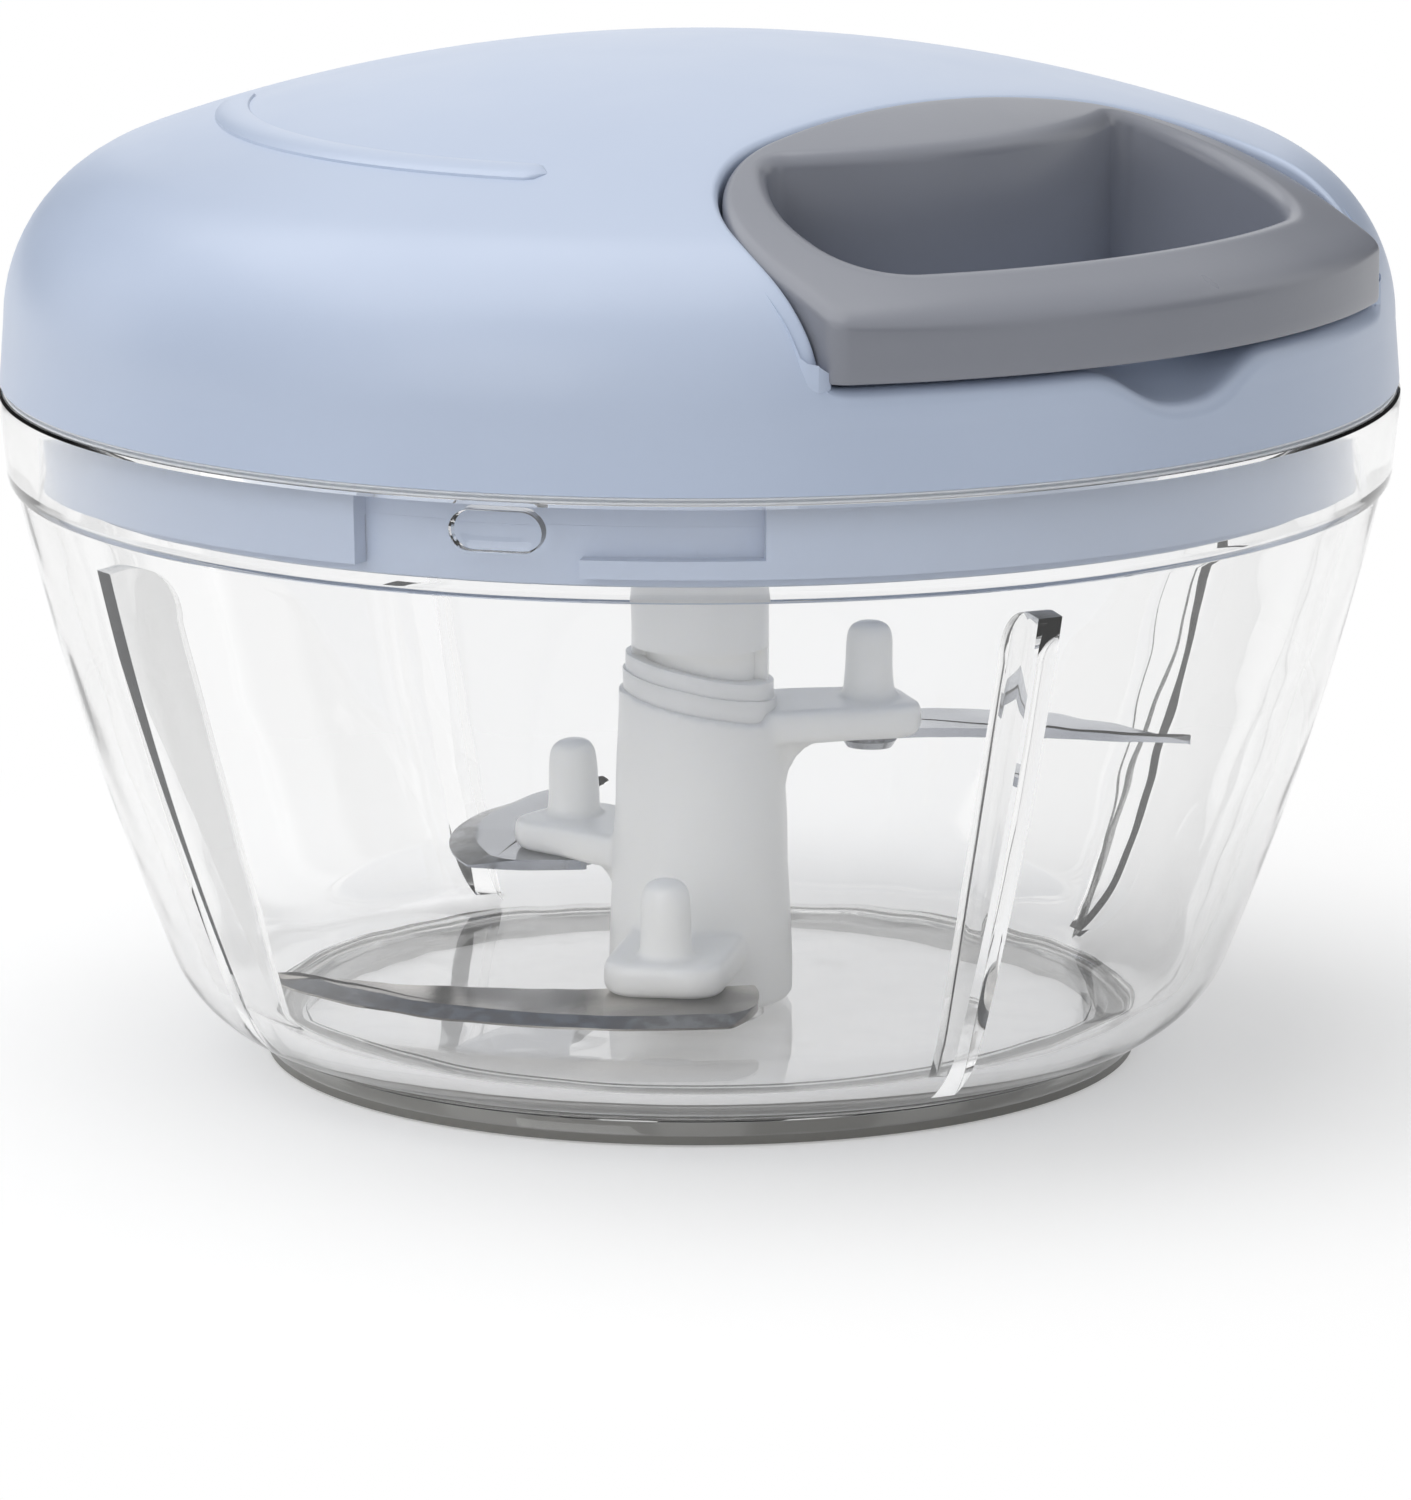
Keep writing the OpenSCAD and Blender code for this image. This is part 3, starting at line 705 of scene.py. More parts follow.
# Mid-grey polypropylene: waxy, with a slightly coarser mould skin than the lid.
HANDLE_PP = MouldedPlastic(
    "handle_pp_moulded", colour="#8A8D97", shade="#83868F", rough=0.3, ior=1.49, grain_lift=0.06
)
# Natural white acetal: milky, light goes a few millimetres in before it comes back.
ROTOR_POM = MouldedPlastic(
    "rotor_pom_moulded", colour="#FBFBF9", shade="#F6F6F3", rough=0.3, ior=1.48, grain_lift=0.03,
    milk=0.5, milk_mm=1.8,
)
# White acetal of the hidden drive parts, plain tool finish.
DRIVE_POM = MouldedPlastic(
    "drive_pom_moulded", colour="#EDEDE9", shade="#E4E4E0", rough=0.36, ior=1.48, grain_lift=0.04, milk=0.4
)
# Soft seal: translucent white silicone, fine matt skin.
SEAL_SILICONE = MouldedPlastic(
    "seal_silicone_moulded", colour="#F3F6FA", shade="#EAEEF4", rough=0.4, ior=1.41, grain_lift=0.04,
    milk=0.4, milk_mm=1.0,
)
# Foot ring: warm grey silicone that grips the table, matt.
FOOT_SILICONE = MouldedPlastic(
    "foot_silicone_moulded", colour="#8B8A86", shade="#7C7B77", rough=0.4, ior=1.41, grain_lift=0.06,
    milk=0.3, milk_mm=1.0,
)
# Clear bowl: polished, so it shows the room in bright edges and dark bends.
BOWL_SAN = ClearPlastic("bowl_san_moulded")
# Ground cutting bevel along the edge, with coarser cross lines. Its darker band is painted reflection of dark
# surroundings in the facet.
BEVEL_STEEL = WorkedMetal(
    "blade_bevel_ground", colour="#7C7F84", shade="#5A5C60", reflection_mm=1.6, rough=0.22, line_mm=0.35,
    turn_deg=60.0, line_lift=0.15,
)
# Turned pins and rivets: fine rings, a clear but soft glint.
PIN_STEEL = WorkedMetal("pin_stainless_turned", colour="#C4C6CA", rough=0.24, line_long=6.0)
# Zinc-plated screws, a little yellow and dull.
SCREW_STEEL = WorkedMetal("screw_steel_plated", colour="#C9C7BF", rough=0.32)
# Blued spring strip: long rolling lines, a dim sheen.
SPRING_STEEL = WorkedMetal("spring_strip_rolled", colour="#9DA3AC", rough=0.28, line_long=30.0)
# Chromed brass eyelet: bright, with sharp glints.
EYELET_CHROME = WorkedMetal("eyelet_chromed", colour="#D8DADD", rough=0.1)
# Sintered bronze bush, oily and warm.
BUSH_BRONZE = WorkedMetal("bush_bronze_sintered", colour="#B98D52", rough=0.38, line_long=1.0, line_lift=0.2)
# Pull cord: dull, with a fine crossing pattern.
CORD_NYLON = BraidedCord("cord_nylon_braided")


def dress(piece: bpy.types.Object, finish: Finish) -> None:
    """Give a piece one finish all over."""
    piece.data.materials.clear()
    piece.data.materials.append(finish.make())


def dress_solids(finishes: dict[str, Finish]) -> None:
    """Finish the solids that stay in view, each by its name."""
    for name, finish in finishes.items():
        dress(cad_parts[name], finish)


def unmark(piece: bpy.types.Object) -> None:
    """Drop the station numbers that lofting leaves on a piece.

    Args:
        piece: The finished mesh.
    """
    layer = piece.data.attributes.get("station")
    if layer is not None:
        piece.data.attributes.remove(layer)


def mount(piece: bpy.types.Object, body: Body, finish: Finish | None, slot: str, *nodes: str) -> None:
    """Dress a new piece, set it on its body and hide the solids it stands for.

    Args:
        piece: The finished mesh.
        body: Body that carries it.
        finish: Finish all over, or None where the faces have theirs.
        slot: Material slot of the record. Not used.
        nodes: Solids that the piece stands for.
    """
    unmark(piece)
    if finish is not None:
        dress(piece, finish)
    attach(piece, body.value)
    if nodes:
        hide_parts(*nodes)
    log.info("%s rides on %s, %d faces", piece.name, body.value, len(piece.data.polygons))


@dataclass
class Bowl:
    """Clear bowl with a rim band, four fins, three lock lugs and a foot."""

    rim_r: float = 65.0
    height: float = 62.8
    foot_r: float = 41.0
    foot_wall: float = 4.0
    groove: tuple[float, float] = (2.6, 1.0)
    groove_deep: float = 0.2
    boss_r: float = 6.0
    pin_r: float = 2.52
    pin_z: float = 1.4
    wall: float = 2.4
    under: float = 2.0
    floor: float = 4.4
    ring_seat: float = 0.8
    band_z: float = 55.2
    bow: float = 280.0
    low: tuple[float, float] = (51.3, 14.0)
    step_in: float = 1.6
    step_down: float = 1.0
    base_r: float = 12.0
    base_from: float = -75.5
    fin_t: float = 2.4
    fin_az: float = -12.0
    fin_drop: float = 7.0
    fin_deep: float = 11.0
    fin_foot: float = 1.3
    fin_from: float = -78.0
    fin_rise: float = 2.6
    fin_round: tuple[float, float] = (4.9, 5.5)
    fin_round_at: tuple[float, float] = (4.6, -2.4)
    fin_edge: float = 1.0
    lug_az: float = -58.5
    lug_z: float = 59.8
    lug_half: tuple[float, float] = (4.15, 1.8)
    lug_stand: float = 1.8
    lug_bury: float = 0.9
    seal_in: float = 0.2
    seal_out: float = 0.5
    seal_t: float = 0.8
    seal_lips: tuple[tuple[float, float], ...] = (
        (-0.15, 0.0), (0.0, 0.12), (-0.03, 0.26), (-0.5, 0.31),
        (-0.5, 0.47), (-0.03, 0.52), (0.0, 0.66), (-0.15, 0.8),
    )
    wall_steps: int = 30
    turn_steps: int = 240
    centre: Vector = field(init=False)
    base_c: Vector = field(init=False)
    lean: float = field(init=False)
    band_in: float = field(init=False)

    def __post_init__(self) -> None:
        """Work out the wall's arc centre, the base corner's centre and the rim's inside."""
        a, b = Vector(self.low), Vector((self.rim_r - self.step_in, self.band_z - self.step_down))
        span = (b - a).length
        along = (b - a) / span
        sag = math.sqrt(self.bow**2 - span**2 / 4)
        self.centre = (a + b) / 2 - sag * Vector((along.y, -along.x))
        z = self.under + self.base_r
        r = self.centre.x + math.sqrt((self.bow - self.base_r) ** 2 - (z - self.centre.y) ** 2)
        self.base_c = Vector((r, z))
        self.lean = math.degrees(math.atan2(z - self.centre.y, r - self.centre.x))
        self.band_in = self.centre.x + math.sqrt((self.bow - self.wall) ** 2 - (self.band_z - self.centre.y) ** 2)

    def wall_arc(self, inset: float, top: float, count: int) -> Section:
        """Return the wall's section from the base corner up to a height.

        Args:
            inset: Distance in from the outer wall.
            top: Height of the last point.
            count: Number of steps.

        Returns:
            Radius and height pairs from the bottom up.
        """
        radius = self.bow - inset
        stop = math.degrees(math.asin((top - self.centre.y) / radius))
        return [(p.x, p.y) for p in arc(self.centre, radius, self.lean, stop, count)]

    def base_arc(self, inset: float, start: float) -> Section:
        """Return the rounded base corner from a direction up to the wall."""
        return [(p.x, p.y) for p in arc(self.base_c, self.base_r - inset, start, self.lean, 16)]

    def section(self) -> Section:
        """Draw the closed half section, from the pin's boss round the outside to the inside floor.

        Returns:
            Radius and height pairs.
        """
        seat, under, foot, boss = self.ring_seat, self.under, self.foot_r, self.boss_r
        foot_in, groove_top = foot - self.foot_wall, under + self.groove_deep
        groove_in, groove_out = foot - self.groove[0], foot - self.groove[1]
        base = [
            (0.0, seat), (boss - 0.4, seat), (boss, seat + 0.3), (boss, under),
            (foot_in, under), (foot_in, seat + 0.1), (foot_in + 0.1, seat),
            (groove_in, seat), (groove_in, groove_top), (groove_out, groove_top), (groove_out, seat),
            (foot - 0.2, seat), (foot + 0.05, seat + 0.25), (foot + 0.3, under),
        ]
        outer = self.base_arc(0.0, self.base_from) + self.wall_arc(0.0, self.band_z - 1.2, self.wall_steps)[1:]
        inner = self.base_arc(self.wall, -90.0) + self.wall_arc(self.wall, self.band_z, self.wall_steps)[1:]
        rim, step, top = self.rim_r, self.band_z, self.height
        band = [
            (rim - 1.2, step - 1.0), (rim - 0.9, step - 0.5), (rim - 0.75, step + 0.2), (rim - 0.1, top - 0.8),
            (rim - 0.15, top - 0.25), (rim - 0.4, top), (self.band_in + 0.3, top), (self.band_in, top - 0.3),
        ]
        floor = [(r, self.floor) for r in (30.0, 12.0, self.pin_r)] + [(self.pin_r, self.pin_z), (0.0, self.pin_z)]
        return base + outer + band + inner[::-1] + floor

    def fin_in(self, z: float) -> float:
        """Return the radius of the fins' inner edge at a height."""
        share = (z - self.floor) / (self.band_z - self.fin_drop - self.floor)
        return mix(self.foot_r + self.fin_foot, self.rim_r - self.fin_deep, share)

    def fin(self) -> bpy.types.Object:
        """Make one fin in the XZ plane: a thin web with a rounded top and eased edges.

        Returns:
            The fin.
        """
        top_r, top_z = self.rim_r - self.fin_deep, self.band_z - self.fin_drop
        low_r, skin = self.foot_r + self.fin_foot, self.wall / 2
        (at_r, at_z), (round_r, round_z) = self.fin_round_at, self.fin_round
        back = self.base_arc(skin, self.fin_from) + self.wall_arc(skin, top_z + self.fin_rise, 14)[1:]
        turns = [math.radians(9.0 * k) for k in range(11)]
        edge = [(top_r + at_r - round_r * math.sin(a), top_z + at_z + round_z * math.cos(a)) for a in turns]
        edge += [(low_r + 0.2, self.floor + 0.8), (low_r, self.floor - 0.6)]
        piece = Bench.outline("fin", [Vector((r, -self.fin_t / 2, z)) for r, z in back + edge])
        bpy.ops.mesh.edge_face_add()
        bpy.ops.mesh.extrude_region_move(TRANSFORM_OT_translate={"value": (0.0, self.fin_t * MM, 0.0)})
        bpy.ops.object.mode_set(mode="OBJECT")
        Bench.tidy(piece)
        Bench.bevel(piece, self.fin_edge, segments=4, degrees=60)
        return piece

    def lug(self) -> bpy.types.Object:
        """Make one lock lug at +X: a stadium button that stands inward from the rim band.

        Returns:
            The lug.
        """
        half = self.lug_half[1]
        side = self.lug_half[0] - half
        inner, outer = self.band_in - self.lug_stand, self.band_in + self.lug_bury
        face = arc((side, 0.0), half, -90, 90, 12) + arc((-side, 0.0), half, 90, 270, 12)
        rings = []
        for x, grow in ((outer, 1.0), (inner + 0.35, 1.0), (inner + 0.08, 0.94), (inner, 0.84)):
            rings.append([Vector((x, p.x * grow, self.lug_z + p.y * grow)) for p in face])
        return Bench.loft("lug", rings, Cap.FILL, Cap.FILL)

    @staticmethod
    def copies(piece: bpy.types.Object, count: int, first: float) -> list[bpy.types.Object]:
        """Set turned copies of a piece about the axis, each with its own mesh, and remove the first.

        Args:
            piece: The piece, at +X.
            count: Number of copies in the full turn.
            first: Direction of the first copy in degrees from -Y.

        Returns:
            The copies.
        """
        made = []
        for k in range(count):
            twin = piece.copy()
            twin.data = piece.data.copy()
            twin.data.transform(Matrix.Rotation(math.radians(first - 90 + 360 / count * k), 4, "Z"))
            bpy.context.scene.collection.objects.link(twin)
            made.append(twin)
        bpy.data.objects.remove(piece)
        return made

    def build(self) -> None:
        """Make the bowl as one clear body with its fins and lugs fused on."""
        shell = Bench.turn("bowl_clear", self.section(), self.turn_steps)
        extras = self.copies(self.fin(), 4, self.fin_az) + self.copies(self.lug(), 3, self.lug_az)
        Bench.cut(shell, Bench.join(extras), Combine.UNION)
        Bench.tidy(shell)
        Bench.smooth(shell, degrees=32.0)
        # Light goes through the clear wall, so the wall itself casts no dark shadow.
        shell.visible_shadow = False
        mount(shell, Body.BOWL, BOWL_SAN, "clear_bowl", "bowl")

    def seal(self) -> None:
        """Make the seal that lies on the rim: a flat ring whose outer edge is two soft lips."""
        inner, outer, low = self.band_in + self.seal_in, self.rim_r - self.seal_out, self.height
        lips = [(outer + r, low + z) for r, z in self.seal_lips]
        piece = Bench.turn("seal_two_lip", [(inner, low), *lips, (inner, low + self.seal_t)], self.turn_steps)
        mount(piece, Body.SEAL, SEAL_SILICONE, "seal_silicone", "seal_ring")

    def dress(self) -> None:
        """Finish the solids that stay on the bowl."""
        dress_solids({"foot_ring": FOOT_SILICONE, "pivot_pin": PIN_STEEL})


@dataclass
class DomeForm:
    """Outer form of the lid: a flat dome, a round shoulder and a slightly flared side."""

    top: float = 94.2
    dome_r: float = 156.0
    side_r: float = 64.3
    round_r: float = 16.5
    edge_z: float = 63.6
    flare: float = 0.7 / 9.0
    feel: float = 0.05
    dome_c: float = field(init=False)
    round_cr: float = field(init=False)
    round_cz: float = field(init=False)
    lean: float = field(init=False)
    tangent_r: float = field(init=False)
    dome_len: float = field(init=False)
    round_len: float = field(init=False)
    stretch: float = field(init=False)
    reach: float = field(init=False)

    def __post_init__(self) -> None:
        """Work out where dome, shoulder and side meet."""
        self.dome_c = self.top - self.dome_r
        self.round_cr = self.side_r - self.round_r
        self.round_cz = self.dome_c + math.sqrt((self.dome_r - self.round_r) ** 2 - self.round_cr**2)
        self.lean = math.atan2(self.round_cz - self.dome_c, self.round_cr)
        self.tangent_r = self.round_cr * self.dome_r / (self.dome_r - self.round_r)
        self.dome_len = self.dome_r * (math.pi / 2 - self.lean)
        self.round_len = self.round_r * self.lean
        self.stretch = math.hypot(1.0, self.flare)
        self.reach = self.dome_len + self.round_len + (self.round_cz - self.edge_z) * self.stretch

    def profile(self, s: float) -> tuple[float, float]:
        """Follow the skin down from the pole.

        Args:
            s: Distance from the pole along the skin.

        Returns:
            Radius and height there.
        """
        if s <= self.dome_len:
            a = s / self.dome_r
            return self.dome_r * math.sin(a), self.dome_c + self.dome_r * math.cos(a)
        s -= self.dome_len
        if s <= self.round_len:
            a = self.lean - s / self.round_r
            return self.round_cr + self.round_r * math.cos(a), self.round_cz + self.round_r * math.sin(a)
        drop = (s - self.round_len) / self.stretch
        return self.side_r + drop * self.flare, self.round_cz - drop

    def distance(self, radius: float) -> float:
        """Find a radius on the dome or shoulder.

        Args:
            radius: The radius.

        Returns:
            Distance from the pole along the skin.
        """
        if radius <= self.tangent_r:
            return self.dome_r * math.asin(radius / self.dome_r)
        left = math.acos(min(1.0, (radius - self.round_cr) / self.round_r))
        return self.dome_len + self.round_r * (self.lean - left)

    def distance_at_height(self, z: float) -> float:
        """Find a height on the shoulder or side.

        Args:
            z: The height.

        Returns:
            Distance from the pole along the skin.
        """
        if z > self.round_cz:
            return self.dome_len + self.round_r * (self.lean - math.asin((z - self.round_cz) / self.round_r))
        return self.dome_len + self.round_len + (self.round_cz - z) * self.stretch

    def at(self, flat: Vector) -> Vector:
        """Roll a point of the unrolled plan, whose middle is the pole, back on to the skin.

        Args:
            flat: The plan point.

        Returns:
            The point on the skin.
        """
        s = flat.length
        r, z = self.profile(s)
        return Vector((flat.x / s * r, flat.y / s * r, z)) if s > TINY else Vector((0.0, 0.0, self.top))

    def flat(self, x: float, y: float) -> Vector:
        """Return the unrolled plan point above a plan point."""
        r = math.hypot(x, y)
        return Vector((x, y)) * (self.distance(r) / r)

    def normal(self, flat: Vector) -> Vector:
        """Feel the slope of the skin at an unrolled plan point.

        Args:
            flat: The plan point.

        Returns:
            The outward direction.
        """
        r0, z0 = self.profile(max(0.0, flat.length - self.feel))
        r1, z1 = self.profile(flat.length + self.feel)
        out = flat.normalized()
        return Vector((out.x * (z0 - z1), out.y * (z0 - z1), r1 - r0)).normalized()


@dataclass
class HandleOutline:
    """Plan outline of the handle: nearly straight rear, round corners, straight sides and a round front."""

    half: float = 33.75
    rear_u: float = 29.0
    rear_bow: float = 160.0
    corner: float = 17.0
    corner_split: float = 0.58
    front_r: float = 64.4
    front_corner: float = 2.5

    def rear(self) -> tuple[list[Vector], Vector, float]:
        """Draw the rear's right half.

        Returns:
            The rear arc, the corner's centre and the direction in degrees where the two meet.
        """
        corner_v = self.half - self.corner
        centre_u = self.rear_u + self.rear_bow
        corner_u = centre_u - math.sqrt((self.rear_bow - self.corner) ** 2 - corner_v**2)
        lean = math.degrees(math.atan2(centre_u - corner_u, corner_v))
        line = arc((0.0, -centre_u), self.rear_bow, 90.0, lean, LONG_STEPS)
        return line, Vector((corner_v, -corner_u)), lean

    def legs(self) -> list[list[Vector]]:
        """Draw the right half.

        Returns:
            Its stretches, from the rear's middle to the front's middle.
        """
        rear, corner, lean = self.rear()
        front_v = self.half - self.front_corner
        front_u = math.sqrt((self.front_r - self.front_corner) ** 2 - front_v**2)
        turn = math.degrees(math.atan2(-front_u, front_v))
        split = lean * self.corner_split
        return [
            rear,
            arc(corner, self.corner, lean, split, CORNER_STEPS),
            arc(corner, self.corner, split, 0.0, CORNER_STEPS),
            [Vector((self.half, corner.y)), Vector((self.half, -front_u))],
            arc((front_v, -front_u), self.front_corner, 0.0, turn, CORNER_STEPS),
            arc((0.0, 0.0), self.front_r, turn, -90.0, LONG_STEPS),
        ]


@dataclass
class GripOutline:
    """Plan outline of the finger opening: a rear wall round about the axis, bowed sides and a round front."""

    half: float = 27.0
    rear_r: float = 39.2
    rear_corner: float = 2.5
    side_r: float = 16.0
    side_flat: float = 0.6
    front_r: float = 57.4
    front_corner: float = 8.0
    front_split: float = 0.45

    def legs(self) -> list[list[Vector]]:
        """Draw the right half.

        Returns:
            Its stretches, from the rear's middle to the front's middle.
        """
        front_v = self.half - self.front_corner
        front_u = math.sqrt((self.front_r - self.front_corner) ** 2 - front_v**2)
        lean = math.degrees(math.atan2(-front_u, front_v))
        side = Vector((self.half - self.side_r, self.side_flat - front_u))
        near, far = self.rear_r + self.rear_corner, self.side_r - self.rear_corner
        swing = math.acos((near**2 + side.length_squared - far**2) / (2.0 * near * side.length))
        start = math.degrees(math.atan2(side.y, side.x) + swing)
        corner = polar(near, start)
        turn = math.degrees(math.atan2(corner.y - side.y, corner.x - side.x))
        front, split = (front_v, -front_u), lean * self.front_split
        return [
            arc((0.0, 0.0), self.rear_r, -90.0, start, LONG_STEPS),
            arc(corner, self.rear_corner, start + 180.0, turn, CORNER_STEPS),
            arc(side, self.side_r, turn, 0.0, CORNER_STEPS) + [Vector((self.half, -front_u))],
            arc(front, self.front_corner, 0.0, split, CORNER_STEPS),
            arc(front, self.front_corner, split, lean, CORNER_STEPS),
            arc((0.0, 0.0), self.front_r, lean, -90.0, LONG_STEPS),
        ]


@dataclass
class LidShell:
    """Domed lid shell with the handle pocket, the finger notch below it and a plain raised arc."""

    form: DomeForm = field(default_factory=DomeForm)
    pocket: HandleOutline = field(
        default_factory=lambda: HandleOutline(half=34.15, rear_u=28.6, rear_bow=160.4, corner=17.4)
    )
    pocket_z: float = 72.6
    dish_half: float = 10.5
    dish_deep: float = 3.6
    dish_round: float = 1.4
    dish_run: float = 8.0
    run_fade: tuple[float, float] = (14.0, 26.0)
    corner_in: float = 0.25
    corner_run: float = 0.9
    corner_ease: float = 5.0
    lip: float = 0.7
    front_lip: float = 1.5
    front_fade: tuple[float, float] = (0.2, 5.0)
    floor_y: float = -40.0
    floor_share: float = 0.8
    wall_steps: tuple[tuple[float, float, float], ...] = (
        (0.35, 0.0, 0.7), (0.7, 0.0, 0.7), (1.0, 0.0, 0.7), (1.0, 0.2, 0.2), (1.0, 0.7, 0.0), (1.0, 0.9, 0.0),
    )
    lip_steps: int = 7
    side_steps: int = 40
    front_steps: int = 160
    stations: int = 420
    soften: int = 12
    skin_rings: int = 58
    skin_crowd: float = 1.35
    skin_y: float = -48.0
    thick: float = 1.5
    ridge_r: float = 43.0
    ridge_half: float = 1.6
    ridge_tall: float = 0.5
    ridge_sink: float = 0.35
    ridge_span: tuple[float, float] = (-232.0, -150.0)
    ridge_taper: float = 44.0
    ridge_steps: int = 72
    ridge_sides: int = 16
    liner_r: float = 58.7
    liner_t: float = 1.3
    liner_z: tuple[float, float] = (55.0, 60.2)

    def opening(self) -> list[Vector]:
        """Draw the pocket's opening on the unrolled skin.

        Returns:
            A closed line.
        """
        form, half, steps = self.form, self.pocket.half, self.side_steps
        plan, corner, lean = self.pocket.rear()
        plan += arc(corner, self.pocket.corner, lean, 0.0, steps)[1:]
        front_r = form.profile(form.distance_at_height(self.pocket_z))[0]
        stop = -math.sqrt(front_r**2 - half**2)
        plan += [Vector((half, mix(corner.y, stop, k / steps))) for k in range(1, steps + 1)]
        right = [form.flat(p.x, p.y) for p in plan]
        edge = math.asin(half / front_r)
        for k in range(1, self.front_steps + 1):
            a = edge * (1 - k / self.front_steps)
            x = min(1.0, front_r * math.sin(a) / self.dish_half) ** self.dish_round
            z = self.pocket_z - self.dish_deep * (0.5 + 0.5 * math.cos(math.pi * x))
            s = form.distance_at_height(z)
            right.append(Vector((s * math.sin(a), -s * math.cos(a))))
        return mirrored(right)

    def rings(self) -> list[list[Vector]]:
        """Draw the rings of the shell, from the lid's edge over the skin and the lip down into the pocket.

        Returns:
            The rings, each with one point for each station of the opening.
        """
        form, floor, depth = self.form, self.pocket_z, len(self.wall_steps)
        middle = Vector((0.0, self.skin_y))
        front_r, corner_x = form.profile(form.distance_at_height(floor))[0], self.pocket.half - self.corner_in
        corner_y = -math.sqrt((front_r - self.front_lip) ** 2 - corner_x**2)
        loop = softened(spaced(self.opening(), self.stations), self.soften)
        rings: list[list[Vector]] = [[] for _ in range(self.skin_rings + self.lip_steps + depth + 1)]
        for k, p in enumerate(loop):
            ahead = (loop[(k + 1) % len(loop)] - loop[k - 1]).normalized()
            away = Vector((-ahead.y, ahead.x))
            away = away if away.dot(p - middle) > 0 else -away
            q = form.at(p)
            front = 1.0 - ease(floor + self.front_fade[0], floor + self.front_fade[1], q.z)
            lip = mix(self.lip, self.front_lip, front)
            inward = Vector((-q.x, -q.y, 0.0)).normalized()
            into = (Vector((0.0, 0.0, -1.0)) * (1 - front) + inward * front).normalized()
            start = p + away * lip
            ray = (start - middle).normalized()
            b = middle.dot(ray)
            far = -b + math.sqrt(b * b - middle.length_squared + form.reach**2)
            near = (start - middle).length
            for j in range(self.skin_rings):
                t = (j / self.skin_rings) ** self.skin_crowd
                rings[j].append(form.at(middle + ray * mix(far, near, t)))
            for j in range(self.lip_steps):
                a = math.radians(90.0 * j / (self.lip_steps - 1))
                rings[self.skin_rings + j].append(
                    form.at(p + away * lip * (1 - math.sin(a))) + into * lip * (1 - math.cos(a))
                )
            edge = q + into * lip
            reach = mix(self.dish_run - lip, self.corner_run, ease(*self.run_fade, abs(q.x)))
            # The rings draw together at the two front corners, so that none folds over.
            corner = Vector((math.copysign(corner_x, q.x), corner_y))
            calm = ease(0.0, self.corner_ease, (edge.to_2d() - corner).length)
            plan = (q - form.at(p + away)).to_2d().normalized()
            for j, (down, inset, above) in enumerate(self.wall_steps):
                share = (j + 1) / depth
                z = mix(edge.z, floor + above, down)
                side = Vector((edge.x + plan.x * inset * calm, edge.y + plan.y * inset * calm, z))
                run = Vector((edge.x, edge.y, 0.0)) + inward * (reach * calm * share)
                run.z = mix(q.z, floor, ease(0.0, 1.0, share))
                rings[self.skin_rings + self.lip_steps + j].append(side.lerp(run, front))
            last = rings[-2][-1]
            y = mix(self.floor_y, last.y, self.floor_share)
            rings[-1].append(Vector((last.x * self.floor_share, y, floor)))
        return rings

    def ridge(self) -> bpy.types.Object:
        """Make the plain raised arc, a low band that follows the dome and runs out at both ends.

        Returns:
            The band.
        """
        form, wide, rings = self.form, self.ridge_half, []
        for k in range(self.ridge_steps + 1):
            t = k / self.ridge_steps
            end = min(1.0, min(t, 1 - t) * self.ridge_taper / wide)
            half = wide * math.sqrt(max(0.0, 1.0 - (1.0 - end) ** 2)) + 0.02
            ring = []
            for j in range(self.ridge_sides):
                a = math.tau * j / self.ridge_sides
                lift = math.sin(a)
                sink = self.ridge_sink if lift < 0 else 0.02
                rise = self.ridge_tall * min(1.0, half / wide) * (max(0.0, lift) ** 0.8) - sink
                p = polar(self.ridge_r + half * math.cos(a), mix(*self.ridge_span, t))
                flat = form.flat(p.x, p.y)
                ring.append(form.at(flat) + form.normal(flat) * rise)
            rings.append(ring)
        return Bench.loft("lid_arc_ridge", rings, Cap.FILL, Cap.FILL)

    def liner(self) -> bpy.types.Object:
        """Make the thin inner wall behind the bayonet skirt, which closes its slots to the eye.

        Returns:
            The wall.
        """
        r, back, (low, top) = self.liner_r, self.liner_r - self.liner_t, self.liner_z
        outside = [(back + 0.3, low), (r - 0.3, low), (r - 0.05, low + 0.15), (r, low + 0.5), (r, top)]
        return Bench.turn("lid_skirt_liner", outside + [(back, top), (back, low + 0.3)])

    def build(self) -> None:
        """Make the shell, its raised arc and the wall behind its skirt."""
        shell = Bench.loft("lid_shell", self.rings(), Cap.OPEN, Cap.FILL)
        Bench.modify(shell, "SOLIDIFY", thickness=self.thick * MM, offset=-1.0)
        Bench.smooth(shell, degrees=40.0)
        mount(shell, Body.LID, LID_ABS, "lid_blue", "lid_cover")
        mount(self.ridge(), Body.LID, LID_ABS, "lid_blue")
        mount(self.liner(), Body.LID, BASE_ABS, "lid_blue")

    def dress(self) -> None:
        """Finish the solids that stay in the lid."""
        dress_solids({
            "lid_base": BASE_ABS,
            "base_screws": SCREW_STEEL,
            "recoil_spring": SPRING_STEEL,
            "reel_clip": SPRING_STEEL,
            "cord_eyelet": EYELET_CHROME,
            "shaft_bush": DRIVE_POM,
            "spring_case": DRIVE_POM,
            "spring_cover": DRIVE_POM,
            "cord_reel": DRIVE_POM,
            "drive_shaft": ROTOR_POM,
        })


